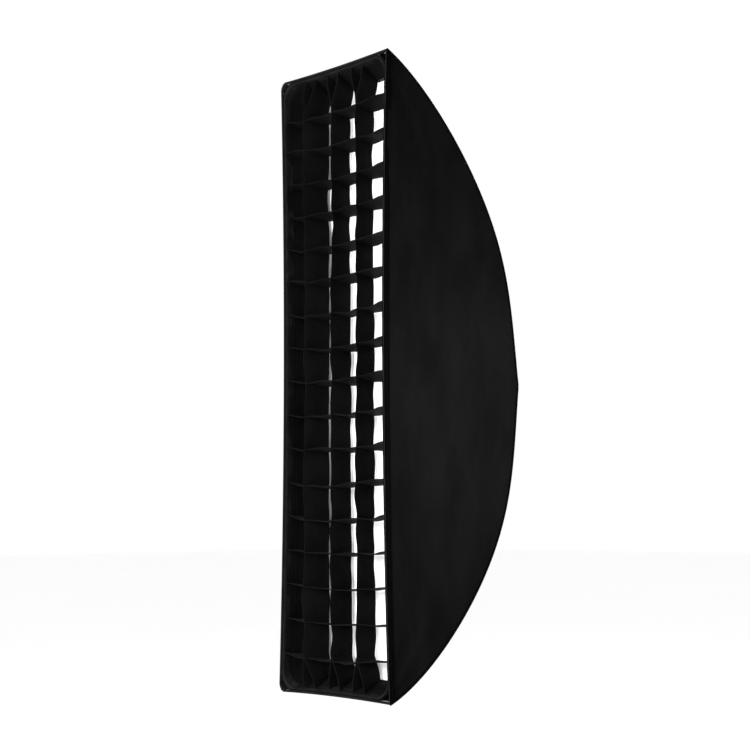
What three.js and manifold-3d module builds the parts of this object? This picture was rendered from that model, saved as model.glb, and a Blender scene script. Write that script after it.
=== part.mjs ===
// Strip softbox for a studio flash: a tapering black fabric shell held open by four spring rods, a
// speedring with a three-lug bayonet insert, two white diffusers and a soft egg-crate grid.
// Millimetres. +Z is up along the long side, the light leaves towards -Y, and the origin is the
// centre of the bayonet's seat, the plane where the insert meets the flash head.
import * as THREE from "three";
import { mergeVertices } from "three/addons/utils/BufferGeometryUtils.js";
import Module from "manifold-3d";

const wasm = await Module();
wasm.setup();

// ---- driving dimensions -------------------------------------------------------------------------
const WIDTH = 220; // mouth, outside
const HEIGHT = 900;
const FRONT = -328; // plane of the mouth
const CLOTH = 1.6; // thickness of the shell with its coating and seams
const GAP = 0.3; // clearance between pieces that touch
const SIDE_BOW = 8; // how far the long edges of the mouth are drawn in by the tension
const END_BOW = 2; // the same on the short edges
const SIDE_DISH = 3; // hollow of a side panel between mouth and seam
const END_DISH = 4; // hollow of an end panel between its two rods

const RIM = 78; // radius of the shell where it meets the speedring
const RIM_ANGLE = THREE.MathUtils.degToRad(11); // where the corner seams reach the rim
const SHELL_REAR = -5;

const HEM = 8; // depth of the bound edge of the mouth
const HEM_CORNER = 12;
const CORNER = 24; // corner radius of the tapes and borders that pass inside the rods
const TAPE = 1; // thickness of hook or loop tape
const GRID_DEPTH = 39;
const GRID_FRONT = FRONT + 1.5;
const GRID_REAR = GRID_FRONT + GRID_DEPTH;
const GRID_PITCH = 49;
const CROSS_STRIPS = 17;
const LONG_STRIPS = 3;
const STRIP = 1.2; // thickness of a grid strip

const DIFFUSER = FRONT + 46;
const DIFFUSER_RIM = 24; // depth of the diffuser's turned border
const INNER_DIFFUSER = FRONT + 160;
const INNER_HALF_WIDTH = 74;
const INNER_HALF_HEIGHT = 315;

const BORE = 47.5; // radius of the light opening
const COLLAR = 50;
const LUG_REACH = 54.5;
const LUG_DEGREES = 34;
const SEAT_INNER = 56; // the seat ring runs from here to the edge of the flange
const FLANGE = 66;
const HUB = 55.6;
const RING = 74; // outer radius of the speedring
const RING_FRONT = -20;
const LOCK_Y = -8; // height of the lock screw's axis behind the seat

const ROD = 2.25; // radius of a spring rod
const ROD_INSET = 6; // how far a rod lies inside the corner seam
const SOCKET_INSET = 21; // the same where the rod enters its socket
const ROD_START = 0.03; // where along the seam the rod leaves its socket
const ROD_END = 0.965;
const TURN = 48; // facets of the turned parts

// ---- materials ----------------------------------------------------------------------------------
function finish(color, roughness, metalness = 0) {
  return new THREE.MeshStandardMaterial({ color, roughness, metalness });
}
const blackCloth = finish(0x0d0d0e, 0.85);
const blackTape = finish(0x151516, 0.95);
const whiteCloth = finish(0xf2f2ef, 0.9);
const castBlack = finish(0x1a1a1c, 0.55, 0.3);
const plated = finish(0xb9babc, 0.35, 0.9);
const rodSteel = finish(0x8d8f92, 0.4, 0.85);
const moulded = finish(0x111112, 0.5);

const softbox = new THREE.Group();

function add(name, geometry, material) {
  const mesh = new THREE.Mesh(geometry, material);
  mesh.name = name;
  softbox.add(mesh);
  return mesh;
}

// ---- solids -------------------------------------------------------------------------------------
function toSolid(geometry) {
  const bare = geometry.index ? geometry.toNonIndexed() : geometry.clone();
  bare.deleteAttribute("normal");
  bare.deleteAttribute("uv");
  const merged = mergeVertices(bare, 1e-3);
  return new wasm.Manifold(
    new wasm.Mesh({
      numProp: 3,
      vertProperties: new Float32Array(merged.attributes.position.array),
      triVerts: new Uint32Array(merged.index.array),
    }),
  );
}

function fromSolid(solid) {
  const mesh = solid.getMesh();
  const geometry = new THREE.BufferGeometry();
  geometry.setAttribute("position", new THREE.BufferAttribute(mesh.vertProperties, 3));
  geometry.setIndex(new THREE.BufferAttribute(mesh.triVerts, 1));
  return geometry;
}

function cut(geometry, ...tools) {
  return fromSolid(tools.reduce((left, tool) => left.subtract(toSolid(tool)), toSolid(geometry)));
}

function join(...pieces) {
  return fromSolid(pieces.map(toSolid).reduce((whole, piece) => whole.add(piece)));
}

// A cylinder from one point to another.
function bar(from, to, radius, sides = 24) {
  const axis = new THREE.Vector3().subVectors(to, from);
  const geometry = new THREE.CylinderGeometry(radius, radius, axis.length(), sides);
  const turn = new THREE.Quaternion().setFromUnitVectors(
    new THREE.Vector3(0, 1, 0),
    axis.clone().normalize(),
  );
  geometry.applyQuaternion(turn);
  const middle = new THREE.Vector3().addVectors(from, to).multiplyScalar(0.5);
  return geometry.translate(middle.x, middle.y, middle.z);
}

// A ring turned about the Y axis from a closed profile of [radius, y] points.
function turned(profile) {
  const points = profile.map(([radius, y]) => new THREE.Vector2(radius, y));
  return new THREE.LatheGeometry([...points, points[0]], TURN);
}

// A flat plate normal to Y: a polygon of [x, z] points between two depths.
function plate(polygon, yLow, yHigh) {
  const shape = new THREE.Shape(polygon.map(([x, z]) => new THREE.Vector2(x, z)));
  const geometry = new THREE.ExtrudeGeometry(shape, { depth: yHigh - yLow, bevelEnabled: false });
  return geometry.rotateX(Math.PI / 2).translate(0, yHigh, 0);
}

// Closed solid between two grids of points, outer[i][j] and inner[i][j]. The loop option joins the
// last row to the first one.
function slab(outer, inner, loop = false) {
  const rows = outer.length;
  const columns = outer[0].length;
  const positions = [...outer.flat(), ...inner.flat()].flatMap((p) => [p.x, p.y, p.z]);
  const front = (i, j) => (i % rows) * columns + j;
  const back = (i, j) => rows * columns + front(i, j);
  const faces = [];
  const quad = (a, b, c, d) => faces.push(a, b, c, a, c, d);
  const lastRow = loop ? rows : rows - 1;
  for (let i = 0; i < lastRow; i++) {
    for (let j = 0; j < columns - 1; j++) {
      quad(front(i, j), front(i + 1, j), front(i + 1, j + 1), front(i, j + 1));
      quad(back(i, j), back(i, j + 1), back(i + 1, j + 1), back(i + 1, j));
    }
    quad(front(i, 0), back(i, 0), back(i + 1, 0), front(i + 1, 0));
    const j = columns - 1;
    quad(front(i, j), front(i + 1, j), back(i + 1, j), back(i, j));
  }
  if (!loop) {
    const i = rows - 1;
    for (let j = 0; j < columns - 1; j++) {
      quad(front(0, j), front(0, j + 1), back(0, j + 1), back(0, j));
      quad(front(i, j), back(i, j), back(i, j + 1), front(i, j + 1));
    }
  }
  const geometry = new THREE.BufferGeometry();
  geometry.setAttribute("position", new THREE.Float32BufferAttribute(positions, 3));
  geometry.setIndex(faces);
  return outwards(geometry);
}

// Turns the faces round if the solid is inside out.
function outwards(geometry) {
  if (toSolid(geometry).volume() > 0) return geometry;
  const index = geometry.index.array;
  for (let k = 0; k < index.length; k += 3) {
    [index[k + 1], index[k + 2]] = [index[k + 2], index[k + 1]];
  }
  return geometry;
}

function steps(low, high, count) {
  return Array.from({ length: count + 1 }, (_, k) => low + ((high - low) * k) / count);
}

function mirrored(geometry, x, z) {
  const copy = geometry.clone().scale(x, 1, z);
  return x * z < 0 ? outwards(copy.index ? copy : mergeVertices(copy, 1e-3)) : copy;
}

const CORNERS = [
  ["top_right", 1, 1],
  ["top_left", -1, 1],
  ["bottom_right", 1, -1],
  ["bottom_left", -1, -1],
];

// ---- the shell's shape --------------------------------------------------------------------------
// Bezier curve through its first and last control points.
class BezierCurve extends THREE.Curve {
  constructor(...controls) {
    super();
    this.controls = controls;
  }

  getPoint(t, target = new THREE.Vector3()) {
    let points = this.controls;
    while (points.length > 1) {
      points = points.slice(1).map((point, k) => points[k].clone().lerp(point, t));
    }
    return target.copy(points[0]);
  }
}

// Corner seam in the quadrant of +X and +Z, from the rim of the speedring to the corner of the mouth.
const seam = new BezierCurve(
  new THREE.Vector3(RIM * Math.cos(RIM_ANGLE), SHELL_REAR, RIM * Math.sin(RIM_ANGLE)),
  new THREE.Vector3(78, -28, 189),
  new THREE.Vector3(84, -35, 233),
  new THREE.Vector3(97, -185, 406),
  new THREE.Vector3(WIDTH / 2, FRONT, HEIGHT / 2),
);

const RIM_BEND = seam.getPoint(0).z; // height at which the side panel leaves the round rim

// Parameter of the seam where one coordinate, which changes one way along it, has a given value.
function seamParameter(axis, value) {
  let low = 0;
  let high = 1;
  const rising = seam.getPoint(1)[axis] > seam.getPoint(0)[axis];
  for (let k = 0; k < 40; k++) {
    const middle = (low + high) / 2;
    if (seam.getPoint(middle)[axis] < value === rising) low = middle;
    else high = middle;
  }
  return (low + high) / 2;
}

// Unit normal of the seam in the YZ plane, pointing into the shell.
function seamNormal(t) {
  const tangent = seam.getTangent(t);
  return new THREE.Vector3(0, -tangent.z, tangent.y).normalize();
}

// Rear edge of a side panel at height z. Near the middle this leaves the round rim out of account.
function sideRear(z) {
  const height = Math.abs(z);
  if (height <= RIM_BEND) return seam.getPoint(0).setZ(z);
  return seam.getPoint(seamParameter("z", height)).setZ(z);
}

// Distance of the right side panel from the middle plane.
function sideX(y, z) {
  const rear = sideRear(z);
  const share = (2 * z) / HEIGHT;
  const slack = Math.max(0, 1 - share * share);
  const mouth = WIDTH / 2 - SIDE_BOW * slack;
  const t = THREE.MathUtils.clamp((y - FRONT) / (rear.y - FRONT || 1), 0, 1);
  const straight = mouth + (rear.x - mouth) * t - 4 * SIDE_DISH * slack * t * (1 - t);
  const rimBulge = Math.abs(z) < RIM_BEND ? Math.sqrt(RIM ** 2 - z ** 2) - rear.x : 0;
  return straight + rimBulge * t ** 5;
}

// How far an end panel is drawn in at seam parameter t and share u of its half width.
function endDip(t, u) {
  return (END_BOW * t + END_DISH * Math.sin(Math.PI * t)) * (1 - u * u);
}

// Half height of the shell at depth y and share u of its half width.
function endZ(y, u) {
  const t = seamParameter("y", y);
  const slope = 1 / Math.abs(seamNormal(t).z);
  return { z: seam.getPoint(t).z - slope * endDip(t, u), slope };
}

// Closed loop inside the shell at depth y, a given inset from its outer surface.
function outline(y, inset, radius) {
  const endSteps = 4;
  const cornerSteps = 4;
  const { z: top, slope } = endZ(y, 1);
  const zCorner = top - slope * inset;
  const xCorner = sideX(y, zCorner) - inset;
  const quarter = [];
  for (const z of [0, RIM_BEND / 2, ...steps(RIM_BEND, zCorner - radius, 5)]) {
    quarter.push([sideX(y, z) - inset, z]);
  }
  for (let k = 1; k < cornerSteps; k++) {
    const angle = (Math.PI / 2) * (k / cornerSteps);
    const x = sideX(y, zCorner - radius) - inset - radius * (1 - Math.cos(angle));
    quarter.push([x, zCorner - radius * (1 - Math.sin(angle))]);
  }
  for (const x of steps(xCorner - radius, 0, endSteps / 2)) {
    quarter.push([x, endZ(y, x / xCorner).z - slope * inset]);
  }
  const upperLeft = quarter.slice(0, -1).reverse().map(([x, z]) => [-x, z]);
  const upper = [...quarter, ...upperLeft];
  const lower = upper.slice(1, -1).reverse().map(([x, z]) => [x, -z]);
  return [...upper, ...lower];
}

// A band that follows the inside of the shell between two depths and two insets.
function band(yLow, yHigh, inset, thickness, radius) {
  const layer = (depth) =>
    outline(yLow, depth, radius).map(([x, z], k) => {
      const [farX, farZ] = outline(yHigh, depth, radius)[k];
      return [new THREE.Vector3(x, yLow, z), new THREE.Vector3(farX, yHigh, farZ)];
    });
  return slab(layer(inset), layer(inset + thickness), true);
}

// ---- bayonet insert and what turns with it ------------------------------------------------------
const FLANGE_FRONT = -3;
const HUB_FRONT = -13;
const COLLAR_REAR = 12;
const LUG_THICKNESS = 2.5;
const RETAINER_FRONT = -15.3;
const RETAINER = 60; // outer radius of the retaining ring
const SCREW_CIRCLE = 51.6;
const SCREW_HOLE = 2.1; // radii of the retaining screws and their holes
const SCREW_HEAD = 3.4;
const SCREW_SHANK = 1.8;

function bayonetInsert() {
  const ring = turned([
    [BORE, HUB_FRONT],
    [HUB, HUB_FRONT],
    [HUB, FLANGE_FRONT],
    [FLANGE, FLANGE_FRONT],
    [FLANGE, 0],
    [SEAT_INNER, 0],
    [SEAT_INNER, -0.8],
    [COLLAR, -0.8],
    [COLLAR, COLLAR_REAR],
    [BORE, COLLAR_REAR],
  ]);
  const lugs = [0, 1, 2].map((k) => lug(k * 120 + 90));
  const holes = screwAngles().map((angle) => {
    const [from, to] = screwLine(angle, HUB_FRONT - 1, HUB_FRONT + 9);
    return bar(from, to, SCREW_HOLE, 16);
  });
  return cut(join(ring, ...lugs), ...holes);
}

// A bayonet lug: a sector that hooks outwards over the flash head's own ring.
function lug(middle) {
  const half = LUG_DEGREES / 2;
  const angles = steps(middle - half, middle + half, 6).map(THREE.MathUtils.degToRad);
  const at = (radius) => angles.map((a) => [radius * Math.cos(a), radius * Math.sin(a)]);
  const polygon = [...at(COLLAR - 1), ...at(LUG_REACH).reverse()];
  return plate(polygon, COLLAR_REAR - LUG_THICKNESS, COLLAR_REAR - 0.2);
}

function screwAngles() {
  return [30, 150, 270].map(THREE.MathUtils.degToRad);
}

function screwLine(angle, yFrom, yTo) {
  const x = SCREW_CIRCLE * Math.cos(angle);
  const z = SCREW_CIRCLE * Math.sin(angle);
  return [new THREE.Vector3(x, yFrom, z), new THREE.Vector3(x, yTo, z)];
}

function retainingRing() {
  const rear = HUB_FRONT - GAP;
  const ring = turned([
    [BORE + 0.5, RETAINER_FRONT],
    [RETAINER, RETAINER_FRONT],
    [RETAINER, rear],
    [BORE + 0.5, rear],
  ]);
  const holes = screwAngles().map((angle) => {
    const [from, to] = screwLine(angle, RETAINER_FRONT - 1, HUB_FRONT + 1);
    return bar(from, to, SCREW_HOLE, 16);
  });
  return cut(ring, ...holes);
}

function retainingScrew(angle) {
  const [headFront, headRear] = screwLine(angle, RETAINER_FRONT - 2.6, RETAINER_FRONT - GAP);
  const [, shankEnd] = screwLine(angle, 0, HUB_FRONT + 7);
  const head = bar(headFront, headRear, SCREW_HEAD, 20);
  const shank = bar(headFront.clone().lerp(headRear, 0.5), shankEnd, SCREW_SHANK, 12);
  const slot = new THREE.BoxGeometry(5, 1, 1.1).translate(headFront.x, headFront.y, headFront.z);
  return cut(join(head, shank), slot);
}

add("bayonet_insert", bayonetInsert(), plated);
add("retaining_ring", retainingRing(), plated);
screwAngles().forEach((angle, k) => {
  add(`retaining_screw_${k + 1}`, retainingScrew(angle), plated);
});

// ---- speedring ----------------------------------------------------------------------------------
const WEB_FRONT = -12.6;
const WEB_REAR = -3.4;
const LOCK_SCREW = 3; // radius
const LOCK_HOLE = 3.3;
const lockOut = (reach) => new THREE.Vector3(-reach, LOCK_Y, 0);

function speedringBody() {
  const ring = turned([
    [HUB + 0.4, WEB_FRONT],
    [RETAINER + 0.5, WEB_FRONT],
    [RETAINER + 0.5, RING_FRONT],
    [RING - 1, RING_FRONT],
    [RING, RING_FRONT + 1],
    [RING, -1.6],
    [RING - 1, -0.6],
    [FLANGE + 0.4, -0.6],
    [FLANGE + 0.4, WEB_REAR],
    [HUB + 0.4, WEB_REAR],
  ]);
  return cut(ring, bar(lockOut(HUB - 2), lockOut(RING + 2), LOCK_HOLE));
}

// Centre line of the rod in the quadrant of +X and +Z.
const SOCKET_SIDEWAYS = 18; // how far the socket lies towards the middle from the corner seam
const rodLine = new THREE.CatmullRomCurve3(
  steps(ROD_START, ROD_END, 12).map((t) => {
    const near = Math.max(0, 1 - (t - ROD_START) / 0.4) ** 2;
    const depth = ROD_INSET + (SOCKET_INSET - ROD_INSET) * near;
    const sideways = ROD_INSET + (SOCKET_SIDEWAYS - ROD_INSET) * near;
    const point = seam.getPoint(t).addScaledVector(seamNormal(t), depth);
    return point.setX(point.x - sideways);
  }),
);

const SOCKET_WALL = 6.2;
const SOCKET_LENGTH = 20;
const SOCKET_HOLE = 2.6; // radius

// Block bolted to the front of the speedring, with a blind hole for the end of a rod.
function rodSocket() {
  const mouth = rodLine.getPoint(0);
  const out = rodLine.getTangent(0).normalize();
  const end = mouth.clone().addScaledVector(out, -SOCKET_LENGTH);
  const block = new THREE.BoxGeometry(2 * SOCKET_WALL, 2 * SOCKET_WALL, SOCKET_LENGTH);
  block.applyQuaternion(new THREE.Quaternion().setFromUnitVectors(new THREE.Vector3(0, 0, 1), out));
  const middle = mouth.clone().lerp(end, 0.5);
  block.translate(middle.x, middle.y, middle.z);
  const hole = bar(end.clone().addScaledVector(out, 4), mouth.clone().addScaledVector(out, 2), SOCKET_HOLE);
  const ringFace = new THREE.BoxGeometry(200, 30, 200).translate(0, RING_FRONT - GAP + 15, 0);
  return cut(block, hole, ringFace);
}

// A rod: straight in its socket, then bowed along the corner seam, with a round tip.
function rod() {
  const mouth = rodLine.getPoint(0);
  const out = rodLine.getTangent(0).normalize();
  const inSocket = mouth.clone().addScaledVector(out, -SOCKET_LENGTH + 5);
  const path = new THREE.CatmullRomCurve3([
    inSocket,
    inSocket.clone().lerp(mouth, 0.5),
    ...rodLine.getSpacedPoints(14),
  ]);
  const section = new THREE.Shape().absarc(0, 0, ROD, 0, 2 * Math.PI);
  const options = { steps: 28, extrudePath: path, curveSegments: 4, bevelEnabled: false };
  return new THREE.ExtrudeGeometry(section, options);
}

const POCKET = 3.7; // outer radius
const POCKET_LENGTH = 22;

// Reinforced pocket at the corner of the mouth that the tip of a rod pushes into.
function cornerPocket() {
  const tip = rodLine.getPoint(1);
  const out = rodLine.getTangent(1).normalize();
  const closed = tip.clone().addScaledVector(out, 1.8);
  const open = tip.clone().addScaledVector(out, -POCKET_LENGTH);
  const hole = bar(
    open.clone().addScaledVector(out, -1),
    tip.clone().addScaledVector(out, GAP),
    ROD + 0.5,
  );
  return cut(bar(open, closed, POCKET, 16), hole);
}

add("speedring_body", speedringBody(), castBlack);
for (const [place, x, z] of CORNERS) {
  add(`rod_socket_${place}`, mirrored(rodSocket(), x, z), plated);
  add(`rod_${place}`, mirrored(rod(), x, z), rodSteel);
  add(`corner_pocket_${place}`, mirrored(cornerPocket(), x, z), blackTape);
}

// ---- lock: a knob on a screw that presses a nylon pad against the insert ------------------------
const PAD_END = 60;
const PAD = 2.9; // radius
const KNOB_IN = 84;
const KNOB_OUT = 97;
const KNOB = 9.4; // mean radius of the lobed grip
const KNOB_LOBES = 8;
const LOBE = 0.7;

function lockKnob() {
  const outlinePoints = steps(0, 2 * Math.PI, KNOB_LOBES * 6).slice(0, -1).map((angle) => {
    const reach = KNOB + LOBE * Math.cos(KNOB_LOBES * angle);
    return new THREE.Vector2(reach * Math.cos(angle), reach * Math.sin(angle));
  });
  const shape = new THREE.Shape(outlinePoints);
  const grip = new THREE.ExtrudeGeometry(shape, { depth: KNOB_OUT - KNOB_IN, bevelEnabled: false });
  grip.rotateY(-Math.PI / 2).translate(-KNOB_IN, LOCK_Y, 0);
  const neck = bar(lockOut(KNOB_IN - 2), lockOut(KNOB_IN + 1), 6);
  return cut(join(grip, neck), bar(lockOut(KNOB_IN - 4), lockOut(KNOB_OUT - 3), LOCK_HOLE));
}

add("lock_pad", bar(lockOut(HUB + GAP), lockOut(PAD_END), PAD), whiteCloth);
add("lock_screw", bar(lockOut(PAD_END + GAP), lockOut(KNOB_OUT - 3 - GAP), LOCK_SCREW), plated);
add("lock_knob", lockKnob(), moulded);

// ---- shell --------------------------------------------------------------------------------------
const PANEL_FRONT = FRONT + HEM + GAP;
const SIDE_TIP = 441; // the side panel's ends are cut off just short of the seam's corner
const FAN = 0.25; // share of the seam over which the end panel fans out from the round rim

// Stations along the seam, shared by the two panels that it joins.
function seamSteps(last) {
  return steps(0, last, 15);
}

function depthAt(height) {
  return seam.getPoint(seamParameter("z", height)).y;
}

const fanned = seam.getPoint(FAN).z;

// Height of the round rim on the top panel, x from the middle.
function rimHeight(x) {
  return Math.sqrt(Math.max(RIM ** 2 - x ** 2, RIM_BEND ** 2));
}

// Point of the undished top panel at height z; near the rim it is lifted to meet the speedring.
function endSurface(x, z) {
  if (z >= fanned) return new THREE.Vector3(x, depthAt(z), z);
  const rim = rimHeight(x);
  const lift = ((SHELL_REAR - depthAt(rim)) * (fanned - z)) / (fanned - rim);
  return new THREE.Vector3(x, depthAt(z) + lift, z);
}

// Height that the row of the top panel through the seam's point t has, x from the middle.
function rowHeight(t, x) {
  const { z } = seam.getPoint(t);
  if (t >= FAN) return z;
  const share = (z - RIM_BEND) / (fanned - RIM_BEND);
  return rimHeight(x) + (fanned - rimHeight(x)) * share;
}

const PANEL_ROWS = [0, 0.24, 0.48, 0.7, 0.87, 1]; // closer together towards the rim

function sidePanel() {
  const along = seamSteps(seamParameter("z", SIDE_TIP)).map((t) => seam.getPoint(t).z);
  const below = along.map((z) => -z).reverse();
  const heights = [...below, ...steps(-RIM_BEND, RIM_BEND, 4).slice(1, -1), ...along];
  const surface = (depth) =>
    heights.map((z) => {
      const length = sideRear(z).y - PANEL_FRONT;
      return PANEL_ROWS.map((share) => {
        const y = PANEL_FRONT + share * length;
        return new THREE.Vector3(sideX(y, z) - depth, y, z);
      });
    });
  return slab(surface(0), surface(CLOTH));
}

// Shares of the end panel's half width, evenly spaced round the rim.
const END_COLUMNS = steps(Math.PI - RIM_ANGLE, RIM_ANGLE, 10).map(
  (angle) => Math.cos(angle) / Math.cos(RIM_ANGLE),
);

function endPanel() {
  const last = seamParameter("y", PANEL_FRONT + CLOTH + END_BOW);
  const surface = (depth) =>
    seamSteps(last).map((t) => {
      const half = seam.getPoint(t).x - CLOTH - GAP;
      return END_COLUMNS.map((u) =>
        endSurface(u * half, rowHeight(t, u * half)).addScaledVector(
          seamNormal(t),
          endDip(t, u) + depth,
        ),
      );
    });
  return slab(surface(0), surface(CLOTH));
}

const COLLAR_CLOTH = 1.4;
const SCREW_NOTCH = 4.4; // radius of the notch in the cloth for the lock screw

function rearCollar() {
  const ring = turned([
    [RING + GAP, -12],
    [RING + GAP + COLLAR_CLOTH, -12],
    [RING + GAP + COLLAR_CLOTH, -3],
    [RING + GAP, -3],
  ]);
  return cut(ring, bar(lockOut(RING - 3), lockOut(RING + 6), SCREW_NOTCH));
}

// Opening in an end panel for reaching the rod sockets.
const ACCESS_MIDDLE = 112;
const ACCESS_HEIGHT = 40;
const ACCESS_WIDTH = 88;
const window = new THREE.BoxGeometry(ACCESS_WIDTH, 90, ACCESS_HEIGHT).translate(0, 0, ACCESS_MIDDLE);

const screwNotch = bar(lockOut(RING - 3), lockOut(RIM + 6), SCREW_NOTCH);
const side = sidePanel();
const end = cut(endPanel(), window);
add("side_panel_right", side, blackCloth);
add("side_panel_left", cut(mirrored(side, -1, 1), screwNotch), blackCloth);
add("end_panel_top", end, blackCloth);
add("end_panel_bottom", mirrored(end, 1, -1), blackCloth);
add("rear_collar", rearCollar(), blackTape);
add("front_hem", band(FRONT, FRONT + HEM, 0, CLOTH + 0.2, HEM_CORNER), blackTape);

// Flap that closes the opening in each end panel, sewn along the edge away from the speedring.
const FLAP_FREE = 85;
const FLAP_HINGE = 146;
const FLAP_HALF_WIDTH = 56;
const FLAP_CLOTH = 1.5;
const FLAP_LIFT = 2; // clearance over the end panel, where the hook and loop tapes lie

function socketFlap() {
  const surface = (height) =>
    steps(FLAP_FREE, FLAP_HINGE, 5).map((z) => {
      const t = seamParameter("z", z);
      return steps(-FLAP_HALF_WIDTH, FLAP_HALF_WIDTH, 6).map((x) => {
        const dip = endDip(t, x / seam.getPoint(t).x);
        return endSurface(x, z).addScaledVector(seamNormal(t), dip - height);
      });
    });
  return slab(surface(FLAP_LIFT + FLAP_CLOTH), surface(FLAP_LIFT));
}

const flap = socketFlap();
add("socket_flap_top", flap, blackCloth);
add("socket_flap_bottom", mirrored(flap, 1, -1), blackCloth);

// ---- loop tapes, front diffuser and grid border, all following the inside of the shell ----------
const TAPE_INSET = CLOTH + 0.4 + GAP;
const BORDER_INSET = TAPE_INSET + TAPE + GAP;
const BORDER = 1.3;
const INSIDE = BORDER_INSET + BORDER + GAP;

add("grid_loop_tape", band(FRONT + 2, FRONT + 24, TAPE_INSET, TAPE, CORNER), blackTape);
add("diffuser_loop_tape", band(DIFFUSER - 1, DIFFUSER + 22, TAPE_INSET, TAPE, CORNER), blackTape);

const diffuserBorder = band(DIFFUSER - 2, DIFFUSER + DIFFUSER_RIM - 2, BORDER_INSET, BORDER, CORNER);
add("front_diffuser_border", diffuserBorder, whiteCloth);
const diffuserCloth = plate(outline(DIFFUSER, INSIDE + 0.5, CORNER), DIFFUSER - 0.5, DIFFUSER + 0.5);
add("front_diffuser_cloth", diffuserCloth, whiteCloth);

// ---- inner diffuser -----------------------------------------------------------------------------
function rectangle(halfWidth, halfHeight) {
  return [
    [-halfWidth, -halfHeight],
    [halfWidth, -halfHeight],
    [halfWidth, halfHeight],
    [-halfWidth, halfHeight],
  ];
}

const INNER_HEM = 8;
const innerWindow = rectangle(INNER_HALF_WIDTH - INNER_HEM, INNER_HALF_HEIGHT - INNER_HEM);
const innerCloth = rectangle(
  INNER_HALF_WIDTH - INNER_HEM - GAP,
  INNER_HALF_HEIGHT - INNER_HEM - GAP,
);
const hemBlank = plate(
  rectangle(INNER_HALF_WIDTH, INNER_HALF_HEIGHT),
  INNER_DIFFUSER - 1,
  INNER_DIFFUSER + 1,
);
const hemWindow = plate(innerWindow, INNER_DIFFUSER - 5, INNER_DIFFUSER + 5);
add("inner_diffuser_hem", cut(hemBlank, hemWindow), whiteCloth);
add(
  "inner_diffuser_cloth",
  plate(innerCloth, INNER_DIFFUSER - 0.5, INNER_DIFFUSER + 0.5),
  whiteCloth,
);

const STRAP_HEIGHT = 220;
for (const [place, x, z] of CORNERS) {
  const low = INNER_HALF_WIDTH + GAP;
  const high = sideX(INNER_DIFFUSER, STRAP_HEIGHT) - CLOTH - 2.5;
  const strap = new THREE.BoxGeometry(high - low, 1.2, 16);
  strap.translate((x * (low + high)) / 2, INNER_DIFFUSER, z * STRAP_HEIGHT);
  add(`inner_diffuser_strap_${place}`, strap, blackTape);
}

// ---- grid: three long strips and seventeen cross strips, halved into each other -----------------
const SLOT = STRIP + 2 * GAP;
const GRID_MIDDLE = (GRID_FRONT + GRID_REAR) / 2;

add("grid_border", band(GRID_FRONT, GRID_REAR, BORDER_INSET, BORDER, CORNER), blackTape);

// Adds slots to one straight edge of a strip's outline. Each slot runs from the edge to the middle.
function slotted(positions, edge, middle) {
  return positions.flatMap((at) => [
    [at - SLOT / 2, edge],
    [at - SLOT / 2, middle],
    [at + SLOT / 2, middle],
    [at + SLOT / 2, edge],
  ]);
}

// Extrudes an outline of [along, depth] points, drawn in a plane that holds the Y axis.
function strip(points) {
  const shape = new THREE.Shape(points.map(([along, y]) => new THREE.Vector2(along, y)));
  const geometry = new THREE.ExtrudeGeometry(shape, { depth: STRIP, bevelEnabled: false });
  return geometry.translate(0, 0, -STRIP / 2);
}

function centred(count, pitch) {
  return Array.from({ length: count }, (_, k) => (k - (count - 1) / 2) * pitch);
}

const longAt = centred(LONG_STRIPS, GRID_PITCH);
const crossAt = centred(CROSS_STRIPS, GRID_PITCH);

function longStrip(x) {
  const reach = (y) => {
    const { z, slope } = endZ(y, x / (WIDTH / 2));
    return z - slope * INSIDE;
  };
  const points = [
    [-reach(GRID_FRONT), GRID_FRONT],
    [reach(GRID_FRONT), GRID_FRONT],
    [reach(GRID_REAR), GRID_REAR],
    ...slotted(crossAt, GRID_REAR, GRID_MIDDLE - GAP / 2).reverse(),
    [-reach(GRID_REAR), GRID_REAR],
  ];
  return strip(points).rotateY(-Math.PI / 2).translate(x, 0, 0);
}

function crossStrip(z) {
  const reach = (y) => sideX(y, z) - INSIDE;
  const points = [
    [-reach(GRID_FRONT), GRID_FRONT],
    ...slotted(longAt, GRID_FRONT, GRID_MIDDLE + GAP / 2),
    [reach(GRID_FRONT), GRID_FRONT],
    [reach(GRID_REAR), GRID_REAR],
    [-reach(GRID_REAR), GRID_REAR],
  ];
  return strip(points).translate(0, 0, z);
}

longAt.forEach((x, k) => add(`grid_long_strip_${k + 1}`, longStrip(x), blackCloth));
crossAt.forEach((z, k) => {
  const number = String(k + 1).padStart(2, "0");
  add(`grid_cross_strip_${number}`, crossStrip(z), blackCloth);
});

export default softbox;
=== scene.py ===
"""Looks of a strip softbox with an egg-crate grid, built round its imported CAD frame.

Metres. The mouth faces -Y, +Z is up along the long side, and the flash head's bayonet is at the origin.
"""
import math
import random

import bmesh
import bpy
import numpy as np
from mathutils import Matrix, Vector, noise


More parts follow.
